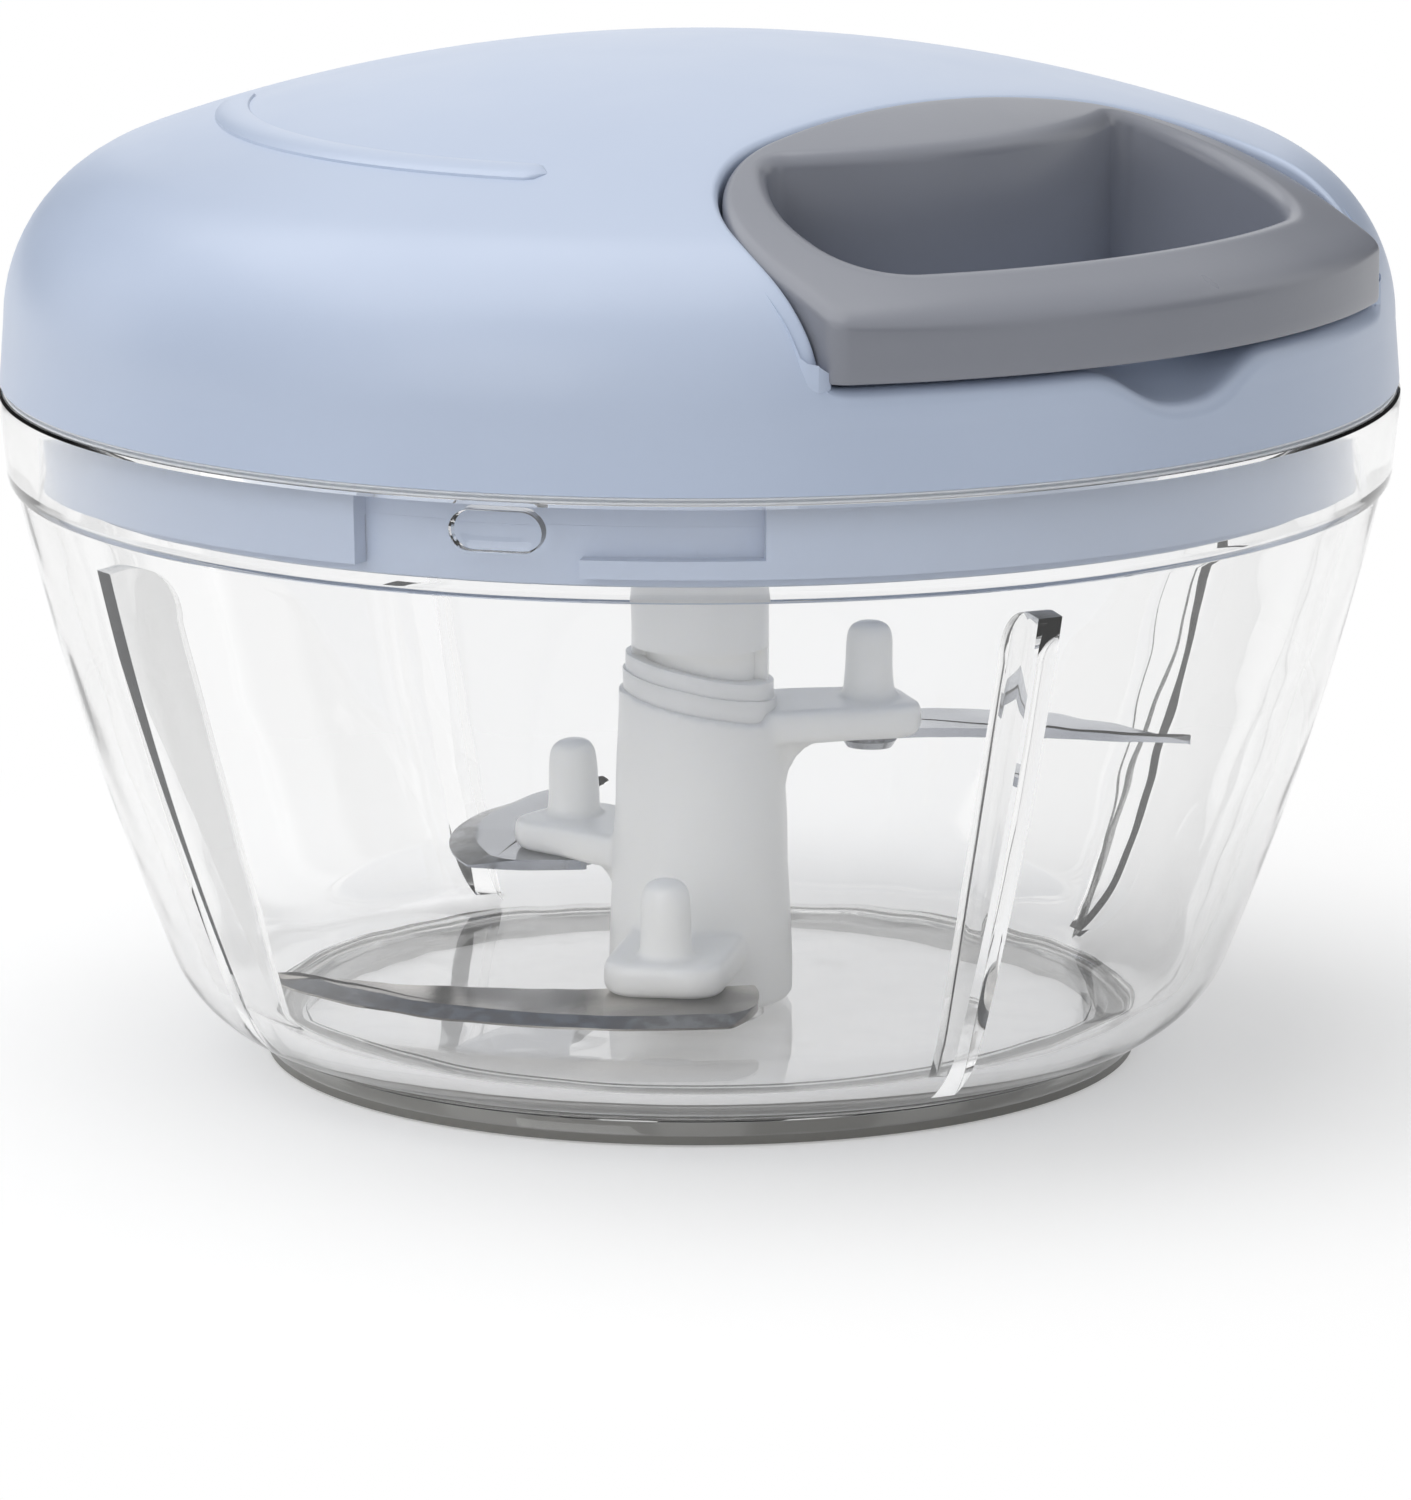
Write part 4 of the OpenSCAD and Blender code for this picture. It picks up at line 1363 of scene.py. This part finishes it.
@dataclass
class PullHandle:
    """Grey pull handle that follows the dome, with rounded lips round its finger opening."""

    low: float = 73.0
    crown_r: float = 134.0
    crown_c: float = -38.94
    outer: HandleOutline = field(default_factory=HandleOutline)
    inner: GripOutline = field(default_factory=GripOutline)
    counts: tuple[int, ...] = (44, 18, 26, 12, 18, 44)
    rear_fade: tuple[float, float] = (-44.0, -32.0)
    front_fade: tuple[float, float] = (52.0, 61.0)
    outer_round: tuple[float, float, float] = (1.4, 0.8, 2.8)
    inner_round: tuple[float, float, float] = (1.9, 1.3, 2.0)
    foot_round: float = 0.5
    foot_ease: float = 0.12
    round_steps: int = 8
    top_steps: int = 10

    def top(self, p: Vector) -> float:
        """Return the height of the handle's crown above a plan point."""
        return self.crown_c + math.sqrt(self.crown_r**2 - p.length_squared)

    def section(self, o: Vector, o_in: Vector, i: Vector, i_in: Vector) -> list[Vector]:
        """Return one closed section from an outer plan point to an inner one.

        Args:
            o: Plan point on the outside.
            o_in: Direction from there into the plastic.
            i: Plan point on the finger opening.
            i_in: Direction from there into the plastic.

        Returns:
            The section's points, up the outside, over the top, down the inside and back below.
        """
        low, foot, slip, steps = self.low, self.foot_round, self.foot_ease, self.round_steps
        rear, front = ease(*self.rear_fade, o.y), ease(*self.front_fade, -o.y)
        rounds = (self.outer_round, self.inner_round)
        ro, ri = (mix(mix(side, back, rear), nose, front) for side, back, nose in rounds)
        shelf, sill = self.top(o + o_in * ro), self.top(i) - ri
        turns = [(k / steps, math.radians(90.0 * k / steps)) for k in range(steps + 1)]
        spots = [(o + o_in * foot, low), (o + o_in * slip, low + slip), (o, low + foot)]
        spots += [(o, mix(low + foot, shelf - ro, t)) for t in (0.25, 0.5, 0.75)]
        for t, a in turns:
            p = o + o_in * ro * (1 - math.cos(a))
            spots.append((p, mix(shelf, self.top(p), t) - ro * (1 - math.sin(a))))
        start, stop = o + o_in * ro, i + i_in * ri
        for k in range(1, self.top_steps):
            p = start.lerp(stop, k / self.top_steps)
            spots.append((p, self.top(p)))
        for _, a in turns:
            p = i + i_in * ri * (1 - math.sin(a))
            spots.append((p, self.top(p) - ri * (1 - math.cos(a))))
        spots += [(i, mix(sill, low + foot, t)) for t in (0.25, 0.5, 0.75, 1.0)]
        spots += [(i + i_in * slip, low + slip), (i + i_in * foot, low), ((o + i) / 2, low)]
        return [Vector((p.x, p.y, z)) for p, z in spots]

    def build(self) -> None:
        """Make the handle as one closed band round its opening."""
        outer, inner = ringed(self.outer.legs(), self.counts), ringed(self.inner.legs(), self.counts)
        count, sections = len(outer), []
        for k in range(count):
            a = (outer[(k + 1) % count] - outer[k - 1]).normalized()
            b = (inner[(k + 1) % count] - inner[k - 1]).normalized()
            sections.append(self.section(outer[k], Vector((a.y, -a.x)), inner[k], Vector((-b.y, b.x))))
        piece = Bench.loft("handle_grip", sections, Cap.OPEN, Cap.JOIN)
        mount(piece, Body.HANDLE, HANDLE_PP, "handle_grey", "pull_handle", "knot_plug")


@dataclass
class Cord:
    """Pull cord: wound on the reel, led through the eyelet and knotted in the handle."""

    radius: float = 0.9
    height: float = 78.0
    sides: int = 12
    wind_r0: float = 9.6
    wind_r1: float = 17.5
    wind_steps: int = 48
    pitch: float = 2.3
    bend_u: float = 25.8
    bend_cut: float = 1.8
    bend_steps: int = 8
    wind_gap: float = 0.7
    run_steps: int = 40
    knot_u: float = 34.2
    knot_r: float = 2.3
    knot_loop: float = 0.46
    knot_lift: float = 0.9
    knot_steps: int = 97

    def tube(self, name: str, path: Sequence[Vector]) -> bpy.types.Object:
        """Return a round tube along a path.

        Args:
            name: Name of the piece.
            path: Points of the centre line in millimetres.

        Returns:
            The piece, closed at both ends.
        """
        rings = []
        up = Vector((0.0, 0.0, 1.0))
        turns = [math.tau * j / self.sides for j in range(self.sides)]
        for k, p in enumerate(path):
            ahead = (path[min(k + 1, len(path) - 1)] - path[max(k - 1, 0)]).normalized()
            side = ahead.cross(up).normalized()
            over = side.cross(ahead)
            rings.append([p + (side * math.cos(a) + over * math.sin(a)) * self.radius for a in turns])
        return Bench.loft(name, rings, Cap.FILL, Cap.FILL)

    def leave(self) -> float:
        """Return the direction in degrees where the cord leaves its winding."""
        return -90.0 - math.degrees(math.acos(self.wind_r1 / self.bend_u))

    def winding(self) -> list[Vector]:
        """Draw the flat spiral of the wound cord.

        Returns:
            Its centre line, from the core outward.
        """
        turns = (self.wind_r1 - self.wind_r0) / self.pitch
        count = int(turns * self.wind_steps)
        path = []
        for k in range(count + 1):
            p = polar(mix(self.wind_r0, self.wind_r1, k / count), self.leave() - 360.0 * turns * (1 - k / count))
            path.append(Vector((p.x, p.y, self.height)))
        return path

    def lead(self) -> list[Vector]:
        """Draw the run from the winding round the eyelet's mouth to the knot.

        Returns:
            Its centre line.
        """
        start, bend = polar(self.wind_r1, self.leave()), Vector((0.0, -self.bend_u))
        end = Vector((0.0, -(self.knot_u - self.knot_r)))
        near = bend + (start - bend).normalized() * self.bend_cut
        far = bend + (end - bend).normalized() * self.bend_cut
        first = start + (bend - start).normalized() * self.wind_gap
        flat = [first.lerp(near, k / self.bend_steps) for k in range(self.bend_steps)]
        for k in range(self.bend_steps + 1):
            t = k / self.bend_steps
            flat.append(near * (1 - t) ** 2 + bend * (2 * t * (1 - t)) + far * t**2)
        flat += [far.lerp(end, k / self.run_steps) for k in range(1, self.run_steps + 1)]
        return [Vector((q.x, q.y, self.height)) for q in flat]

    def knot(self) -> list[Vector]:
        """Draw a small overhand knot in the handle.

        Returns:
            Its centre line.
        """
        path = []
        for k in range(self.knot_steps):
            t = math.tau * k / self.knot_steps
            x = (math.sin(t) + 2 * math.sin(2 * t)) * self.knot_loop
            y = (math.cos(t) - 2 * math.cos(2 * t)) * self.knot_loop
            path.append(Vector((x, y - self.knot_u, self.height - math.sin(3 * t) * self.knot_lift)))
        return path

    def build(self) -> None:
        """Make the winding, the run that follows the handle, and the knot."""
        wound = self.tube("cord_winding", self.winding())
        mount(wound, Body.REEL, CORD_NYLON, "cord_nylon", "pull_cord")
        run = self.tube("cord_run", self.lead())
        unmark(run)
        dress(run, CORD_NYLON)
        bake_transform(run)
        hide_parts("cord_lead")
        log.info("%s bends between lid and handle, %d faces", run.name, len(run.data.polygons))
        thin = Cord(radius=0.8)
        knot = thin.tube("cord_knot_tied", thin.knot())
        mount(knot, Body.HANDLE, CORD_NYLON, "cord_nylon", "cord_knot")


@dataclass
class Rotor:
    """White rotor: tapered hub with a leaning crown, three arms at three heights and a peg on each."""

    hub_z: float = 4.7
    hub_low_r: float = 8.7
    hub_top_r: float = 7.5
    hub_top: float = 33.2
    hub_over: float = 4.0
    hub_trim: float = 0.6
    hub_foot: float = 0.5
    bore_r: float = 4.25
    bore_z: tuple[float, float] = (3.0, 15.0)
    pilot_r: float = 5.3
    pilot_z: tuple[float, float] = (29.2, 45.0)
    crown_mid: float = 36.1
    crown_r: tuple[float, float] = (7.15, 6.9)
    crown_drop: float = 1.6
    crown_z: tuple[float, float] = (31.0, 44.0)
    crown_edge: float = 0.22
    tilt: float = 12.0
    tilt_az: float = 138.0
    arm_az: tuple[float, float, float] = (-143.0, 95.0, -27.0)
    arm_z: tuple[float, float, float] = (8.9, 16.3, 29.0)
    arm_t: float = 3.2
    arm_w: float = 11.25
    arm_end: float = 20.7
    arm_root: float = 2.0
    arm_corner: float = 3.4
    arm_edge: tuple[tuple[float, float], ...] = ((0.9, 0.0), (0.3, 0.2), (0.0, 0.9))
    web_rise: float = 4.2
    web_clear: float = 0.8
    web_half: float = 3.6
    web_bury: float = 0.6
    pin_ring: float = 16.5
    peg_bury: float = 1.0
    peg_steps: tuple[tuple[float, float], ...] = (
        (2.9, 0.0), (2.75, 1.0), (2.46, 1.5), (2.36, 3.2), (2.26, 5.6),
        (2.2, 6.6), (2.06, 7.3), (1.72, 7.85), (1.2, 8.15), (0.6, 8.25),
    )
    melt: float = 0.32

    def slope(self, z: float) -> tuple[Vector, Vector]:
        """Lay the leaning plane of the crown.

        Args:
            z: Height of the plane on the axis.

        Returns:
            A point of the plane and its upward direction.
        """
        lean = math.radians(self.tilt)
        p = polar(math.sin(lean), self.tilt_az)
        return Vector((0.0, 0.0, z)), Vector((-p.x, -p.y, math.cos(lean)))

    def trim(self, piece: bpy.types.Object, z: float) -> None:
        """Cut a piece off above the leaning plane and close it.

        Args:
            piece: The piece.
            z: Height of the plane on the axis.
        """
        point, up = self.slope(z)
        Bench.edit(piece)
        bpy.ops.mesh.bisect(plane_co=point * MM, plane_no=up, clear_outer=True, use_fill=True)
        bpy.ops.object.mode_set(mode="OBJECT")

    def plate(self, z: float) -> bpy.types.Object:
        """Make an arm's plate along +X with round corners and eased edges.

        Args:
            z: Height of its underside.

        Returns:
            The plate.
        """
        half, corner, rings = self.arm_w / 2, self.arm_corner, []
        upper = [(inset, self.arm_t - rise) for inset, rise in reversed(self.arm_edge)]
        for inset, rise in [*self.arm_edge, *upper]:
            flat = [Vector((self.arm_root, inset - half))]
            flat += arc((self.arm_end - corner, corner - half), corner - inset, -90.0, 0.0, 8)
            flat += arc((self.arm_end - corner, half - corner), corner - inset, 0.0, 90.0, 8)
            flat.append(Vector((self.arm_root, half - inset)))
            rings.append([Vector((p.x, p.y, z + rise)) for p in flat])
        return Bench.loft("plate", rings, Cap.FILL, Cap.FILL)

    def gusset(self, z: float) -> bpy.types.Object:
        """Make the web under an arm's root, whose lower edge curves from the hub into the arm.

        Args:
            z: Height of the arm's underside.

        Returns:
            The web.
        """
        rise, root = min(self.web_rise, z - self.hub_z - self.web_clear), self.hub_top_r - 0.1
        top = z + self.web_bury
        curve = [(p.x, p.y) for p in arc((root + rise, z - rise), rise, 90.0, 180.0, 12)]
        flat = [(self.arm_root, top), (root + rise, top), *curve, (self.arm_root, z - rise)]
        sides = [[Vector((r, y, h)) for r, h in flat] for y in (-self.web_half, self.web_half)]
        return Bench.loft("gusset", sides, Cap.FILL, Cap.FILL)

    def arm(self, k: int) -> list[bpy.types.Object]:
        """Make the solids of one arm.

        Args:
            k: Number of the arm from the lowest up.

        Returns:
            Its plate, the web under its root and its peg.
        """
        z = self.arm_z[k]
        foot = z + self.arm_t - self.peg_bury
        peg_at = Vector((self.pin_ring, 0.0))
        pieces = [self.plate(z), self.gusset(z), Bench.post("peg", peg_at, foot, self.peg_steps)]
        for piece in pieces:
            piece.data.transform(Matrix.Rotation(math.radians(self.arm_az[k]), 4, "Z"))
        return pieces

    def hub(self) -> bpy.types.Object:
        """Make the hub's tapered post, cut off on the lean.

        Returns:
            The hub, still solid.
        """
        low, top = self.hub_z, self.hub_top + self.hub_over
        section = [
            (0.0, low), (self.hub_low_r - self.hub_foot, low), (self.hub_low_r, low + self.hub_foot),
            (self.hub_top_r, top), (0.0, top),
        ]
        piece = Bench.turn("rotor_moulding", section, 96)
        self.trim(piece, self.hub_top - self.hub_trim)
        return piece

    def build(self) -> None:
        """Make the hub with its arms as one moulding, and the layered crown on it."""
        body = Bench.join([self.hub(), *(piece for k in range(len(self.arm_z)) for piece in self.arm(k))])
        body.name = body.data.name = "rotor_moulding"
        Bench.modify(body, "REMESH", mode="VOXEL", voxel_size=self.melt * MM)
        Bench.modify(body, "SMOOTH", factor=0.5, iterations=5)
        for name, r, (low, top) in (("bore", self.bore_r, self.bore_z), ("socket", self.pilot_r, self.pilot_z)):
            tool = Bench.turn(name, [(0.0, low), (r, low), (r, top), (0.0, top)], 64)
            Bench.cut(body, tool, Combine.DIFFERENCE)
        Bench.smooth(body, degrees=45.0)
        mount(body, Body.ROTOR, ROTOR_POM, "rotor_white", "rotor_hub")
        heights = (self.crown_mid - self.crown_drop, self.crown_mid)
        for name, r, z in zip(("rotor_crown_low", "rotor_crown_high"), self.crown_r, heights):
            low, top = self.crown_z
            sleeve = Bench.turn(name, [(self.pilot_r, low), (r, low), (r, top), (self.pilot_r, top)], 96)
            self.trim(sleeve, z)
            Bench.bevel(sleeve, self.crown_edge, segments=3, degrees=50)
            Bench.smooth(sleeve, degrees=40.0)
            mount(sleeve, Body.ROTOR, ROTOR_POM, "rotor_white")

    def dress(self) -> None:
        """Finish the solids that stay on the rotor."""
        dress_solids({"pivot_bush": BUSH_BRONZE, "blade_pins": PIN_STEEL})


@dataclass
class Blade:
    """One sickle blade with a ground bevel along its round edge."""

    name: str
    node: str
    arm_az: float
    arm_z: float
    head_az: float
    tip_r: float
    root: float
    colour: str
    shade: str
    pin_ring: float = 16.5
    thick: float = 0.9
    peak: float = 12.5
    peak_x: float = 7.0
    back: float = 70.0
    back_at: float = 0.55
    back_y: float = 2.0
    root_r: float = 18.0
    root_y: float = 3.4
    root_end: float = 10.0
    tip_cut: float = 0.25
    tip_t: float = 0.05
    bevel: float = 2.2
    edge_t: float = 0.2
    land: float = 0.04
    bevel_lean: tuple[float, float] = (0.05, 0.999)
    steps: int = 72
    edge_c: Vector = field(init=False)

    def outline(self) -> tuple[list[Vector], int]:
        """Draw the closed outline along X from the pin, and keep the centre of its cutting edge.

        Returns:
            The outline, and how many of its points are on the cutting edge.
        """
        pin, head = polar(self.pin_ring, self.arm_az), polar(1.0, self.head_az)
        along = pin.dot(head)
        length = math.sqrt(along**2 - self.pin_ring**2 + self.tip_r**2) - along
        edge = ((length - self.peak_x) ** 2 + self.peak**2) / (2 * self.peak)
        self.edge_c = Vector((self.peak_x, self.peak - edge))
        back_c = Vector((length * self.back_at, self.back_y - self.back))
        upper, lower = [], []
        for k in range(self.steps + 1):
            x = mix(-self.root, length - self.tip_cut, 0.5 - 0.5 * math.cos(math.pi * k / self.steps))
            top = self.edge_c.y + math.sqrt(max(0.0, edge**2 - (x - self.edge_c.x) ** 2))
            low = back_c.y + math.sqrt(self.back**2 - (x - back_c.x) ** 2)
            if x < self.root_end:
                round_y = math.sqrt(max(0.0, self.root_r**2 - (x - self.root_r + self.root) ** 2))
                top, low = min(top, self.root_y + round_y), max(low, self.root_y - round_y)
            upper.append(Vector((x, top)))
            lower.append(Vector((x, min(low, top - self.tip_t))))
        return upper[1:] + lower[::-1], self.steps

    def build(self) -> None:
        """Extrude the outline, draw in its top along the edge for the bevel, and seat it under its arm."""
        points, cutting = self.outline()
        rings: list[list[Vector]] = [[], [], []]
        for k, p in enumerate(points):
            share = ease(0, 8, k) * (1 - ease(cutting - 6, cutting - 1, k)) if k < cutting else 0.0
            toward = (self.edge_c - p).normalized() * self.bevel * share
            rings[0].append(Vector((p.x, p.y, 0.0)))
            rings[1].append(Vector((p.x, p.y, mix(self.thick - self.land, self.edge_t, share))))
            rings[2].append(Vector((p.x + toward.x, p.y + toward.y, self.thick)))
        piece = Bench.loft(self.name, rings, Cap.FILL, Cap.FILL)
        pin = polar(self.pin_ring, self.arm_az)
        place = Matrix.Translation(Vector((pin.x, pin.y, self.arm_z - self.thick)) * MM)
        piece.data.transform(place @ Matrix.Rotation(math.radians(self.head_az), 4, "Z"))
        Bench.smooth(piece, degrees=8.0)
        # Rolled stainless strip: bright, with lines along the blade. Slow grey clouds between its two greys are
        # painted reflection of the room.
        flat = WorkedMetal(
            "blade_stainless_rolled_" + self.name, self.colour, self.shade,
            reflection_mm=14.0, rough=0.14, turn_deg=-self.head_az,
        )
        dress(piece, flat)
        piece.data.materials.append(BEVEL_STEEL.make())
        for face in piece.data.polygons:
            face.material_index = 1 if self.bevel_lean[0] < face.normal.z < self.bevel_lean[1] else 0
        mount(piece, Body.ROTOR, None, "blade_steel", self.node)


@dataclass
class Studio:
    """White table, soft lamps and the camera at the photograph's angle. Its sizes are in metres."""

    azimuth: float = -42.0
    elevation: float = 10.98
    distance: float = 0.850
    aim_z: float = 0.045
    focal_px: float = 9121.0
    frame_px: tuple[int, int] = (1411, 1500)
    offset_px: tuple[float, float] = (-5.64, -182.79)
    roll: float = -0.0017
    sensor_mm: float = 36.0
    clip: tuple[float, float] = (0.01, 50.0)
    lamp_aim: tuple[float, float, float] = (0.0, 0.0, 0.05)
    ambient: float = 0.42
    panels: float = 6.0
    panel_turn: float = 2.82
    panel_edge: tuple[float, float] = (0.05, 0.5)
    panel_level: float = 0.05
    ceiling: tuple[float, float] = (0.42, 0.62)
    table_r: float = 4.0
    table_z: float = -0.0002
    table_fade: tuple[float, float] = (0.05, 0.14)
    table_seen: float = 0.7
    table_glow: float = 0.36
    table_bounce: float = 0.85

    def camera(self) -> None:
        """Set the camera on the photograph's line of sight, turned so that the chopper sits high in the frame."""
        a, e = math.radians(self.azimuth), math.radians(self.elevation)
        back = Vector((math.sin(a) * math.cos(e), -math.cos(a) * math.cos(e), math.sin(e)))
        data = bpy.data.cameras.new("camera")
        data.sensor_width = self.sensor_mm
        data.lens = self.sensor_mm * self.focal_px / max(self.frame_px)
        data.clip_start, data.clip_end = self.clip
        eye = bpy.data.objects.new("camera", data)
        eye.location = Vector((0.0, 0.0, self.aim_z)) + back * self.distance
        turn = (-back).to_track_quat("-Z", "Y").to_matrix()
        tilt = Euler((
            math.atan2(self.offset_px[1], self.focal_px),
            math.atan2(self.offset_px[0], self.focal_px),
            self.roll,
        )).to_matrix()
        eye.rotation_euler = (turn @ tilt).to_euler()
        bpy.context.scene.collection.objects.link(eye)
        bpy.context.scene.camera = eye

    def lamp(self, name: str, place: Sequence[float], size: Sequence[float], watts: float) -> None:
        """Hang one soft lamp that faces the chopper.

        Args:
            name: Name of the lamp.
            place: Where it hangs.
            size: Width and height of its face.
            watts: Its power.
        """
        data = bpy.data.lights.new(name, "AREA")
        data.shape = "RECTANGLE"
        data.size, data.size_y = size
        data.energy = watts
        made = bpy.data.objects.new(name, data)
        made.location = place
        made.rotation_euler = (Vector(self.lamp_aim) - Vector(place)).to_track_quat("-Z", "Y").to_euler()
        bpy.context.scene.collection.objects.link(made)

    def lamps(self) -> None:
        """Hang the lamps: a broad one overhead, a fill at the left and a strip at the right."""
        self.lamp("overhead", (-0.2, 0.25, 1.1), (1.2, 1.2), watts=8.5)
        self.lamp("fill", (-1.15, -0.3, 0.55), (0.7, 0.7), watts=2.8)
        self.lamp("side", (0.9, -0.5, 0.5), (0.4, 0.8), watts=0.5)

    def world(self) -> None:
        """Light the room: white where it is seen, grey where it lights, dark panels for gloss and clear plastic."""
        made = bpy.data.worlds.new("studio_room")
        made.use_nodes = True
        tree = made.node_tree
        tree.nodes.clear()
        path = add(tree, "LightPath").outputs
        way = add(tree, "SeparateXYZ", {0: add(tree, "TexCoord").outputs["Generated"]}).outputs
        heading = add(tree, "Math", {0: way[1], 1: way[0]}, operation="ARCTAN2").outputs[0]
        turns = {0: heading, 1: self.panels, 2: self.panel_turn}
        angle = add(tree, "Math", turns, operation="MULTIPLY_ADD").outputs[0]
        wave = add(tree, "Math", {0: angle}, operation="SINE").outputs[0]
        edge = {0: wave, 1: self.panel_edge[0], 2: self.panel_edge[1], 3: self.panel_level, 4: 1.0}
        room = add(tree, "MapRange", edge).outputs[0]
        above = {0: way[2], 1: self.ceiling[0], 2: self.ceiling[1], 3: 0.0, 4: 1.0}
        for other in (add(tree, "MapRange", above).outputs[0], path["Diffuse Depth"]):
            room = add(tree, "Math", {0: room, 1: other}, operation="MAXIMUM").outputs[0]
        room = add(tree, "Math", {0: room, 1: 1.0}, operation="MINIMUM").outputs[0]
        rays = {0: path["Is Glossy Ray"], 1: path["Is Transmission Ray"]}
        bent = add(tree, "Math", rays, operation="MAXIMUM").outputs[0]
        level = add(tree, "Mix", {0: bent, 2: self.ambient, 3: room}, data_type="FLOAT").outputs[0]
        level = add(tree, "Math", {0: level, 1: path["Is Camera Ray"]}, operation="MAXIMUM").outputs[0]
        sky = add(tree, "Background", {"Color": grey(1.0), "Strength": level})
        add(tree, "OutputWorld", {"Surface": sky.outputs[0]})
        bpy.context.scene.world = made

    def floor(self) -> None:
        """Lay the white table, which keeps the chopper's soft shadow and runs out to plain white."""
        Bench.clear()
        place = (0.0, 0.0, self.table_z)
        bpy.ops.mesh.primitive_circle_add(vertices=96, radius=self.table_r, fill_type="NGON", location=place)
        table = Bench.settle(Bench.named("table"))
        made, tree = Finish("table_laminate_white").start()
        path = add(tree, "LightPath").outputs
        seen = path["Is Camera Ray"]
        for ray in ("Is Glossy Ray", "Is Transmission Ray"):
            seen = add(tree, "Math", {0: seen, 1: path[ray]}, operation="MAXIMUM").outputs[0]
        out = add(tree, "VectorMath", {0: add(tree, "TexCoord").outputs["Object"]}, operation="LENGTH")
        fade = {0: out.outputs["Value"], 1: self.table_fade[0], 2: self.table_fade[1]}
        far = add(tree, "MapRange", fade, interpolation_type="SMOOTHSTEP")
        cover = add(tree, "BsdfDiffuse", {"Color": grey(self.table_seen)})
        glow = add(tree, "Emission", {"Color": grey(1.0), "Strength": self.table_glow})
        lit = add(tree, "AddShader", {0: cover.outputs[0], 1: glow.outputs[0]})
        white = add(tree, "Emission", {"Color": grey(1.0), "Strength": 1.0})
        both = add(tree, "MixShader", {0: far.outputs[0], 1: lit.outputs[0], 2: white.outputs[0]})
        plain = add(tree, "BsdfDiffuse", {"Color": grey(self.table_bounce)})
        pick = add(tree, "MixShader", {0: seen, 1: plain.outputs[0], 2: both.outputs[0]})
        add(tree, "OutputMaterial", {"Surface": pick.outputs[0]})
        table.data.materials.append(made)

    def build(self) -> None:
        """Set up the studio."""
        self.camera()
        self.lamps()
        self.world()
        self.floor()
        bpy.context.scene.view_settings.view_transform = "Standard"
        log.info("studio is set")


def main() -> None:
    """Build every sub-assembly in order and report each piece."""
    logging.basicConfig(level=logging.INFO, format="%(name)s: %(message)s")
    Studio().build()
    bowl = Bowl()
    bowl.build()
    bowl.seal()
    bowl.dress()
    lid = LidShell()
    lid.build()
    lid.dress()
    PullHandle().build()
    Cord().build()
    rotor = Rotor()
    rotor.build()
    rotor.dress()
    # Each blade's colour is the steel's own tone. Its darker shade, deepest on the low blade, is painted reflection
    # of the room.
    for k, (name, node, head, root, colour, shade) in enumerate((
        ("blade_low_sickle", "blade_lower", 127.5, 9.0, "#CBC7C1", "#5A5653"),
        ("blade_mid_sickle", "blade_middle", 43.0, 7.0, "#A4A8B0", "#868A92"),
        ("blade_high_sickle", "blade_upper", -51.0, 7.0, "#B4B7BE", "#9A9EA6"),
    )):
        reach = bowl.fin_in(rotor.arm_z[k]) - FIN_GAP
        Blade(name, node, rotor.arm_az[k], rotor.arm_z[k], head, reach, root, colour, shade).build()


if __name__ == "__main__":
    main()
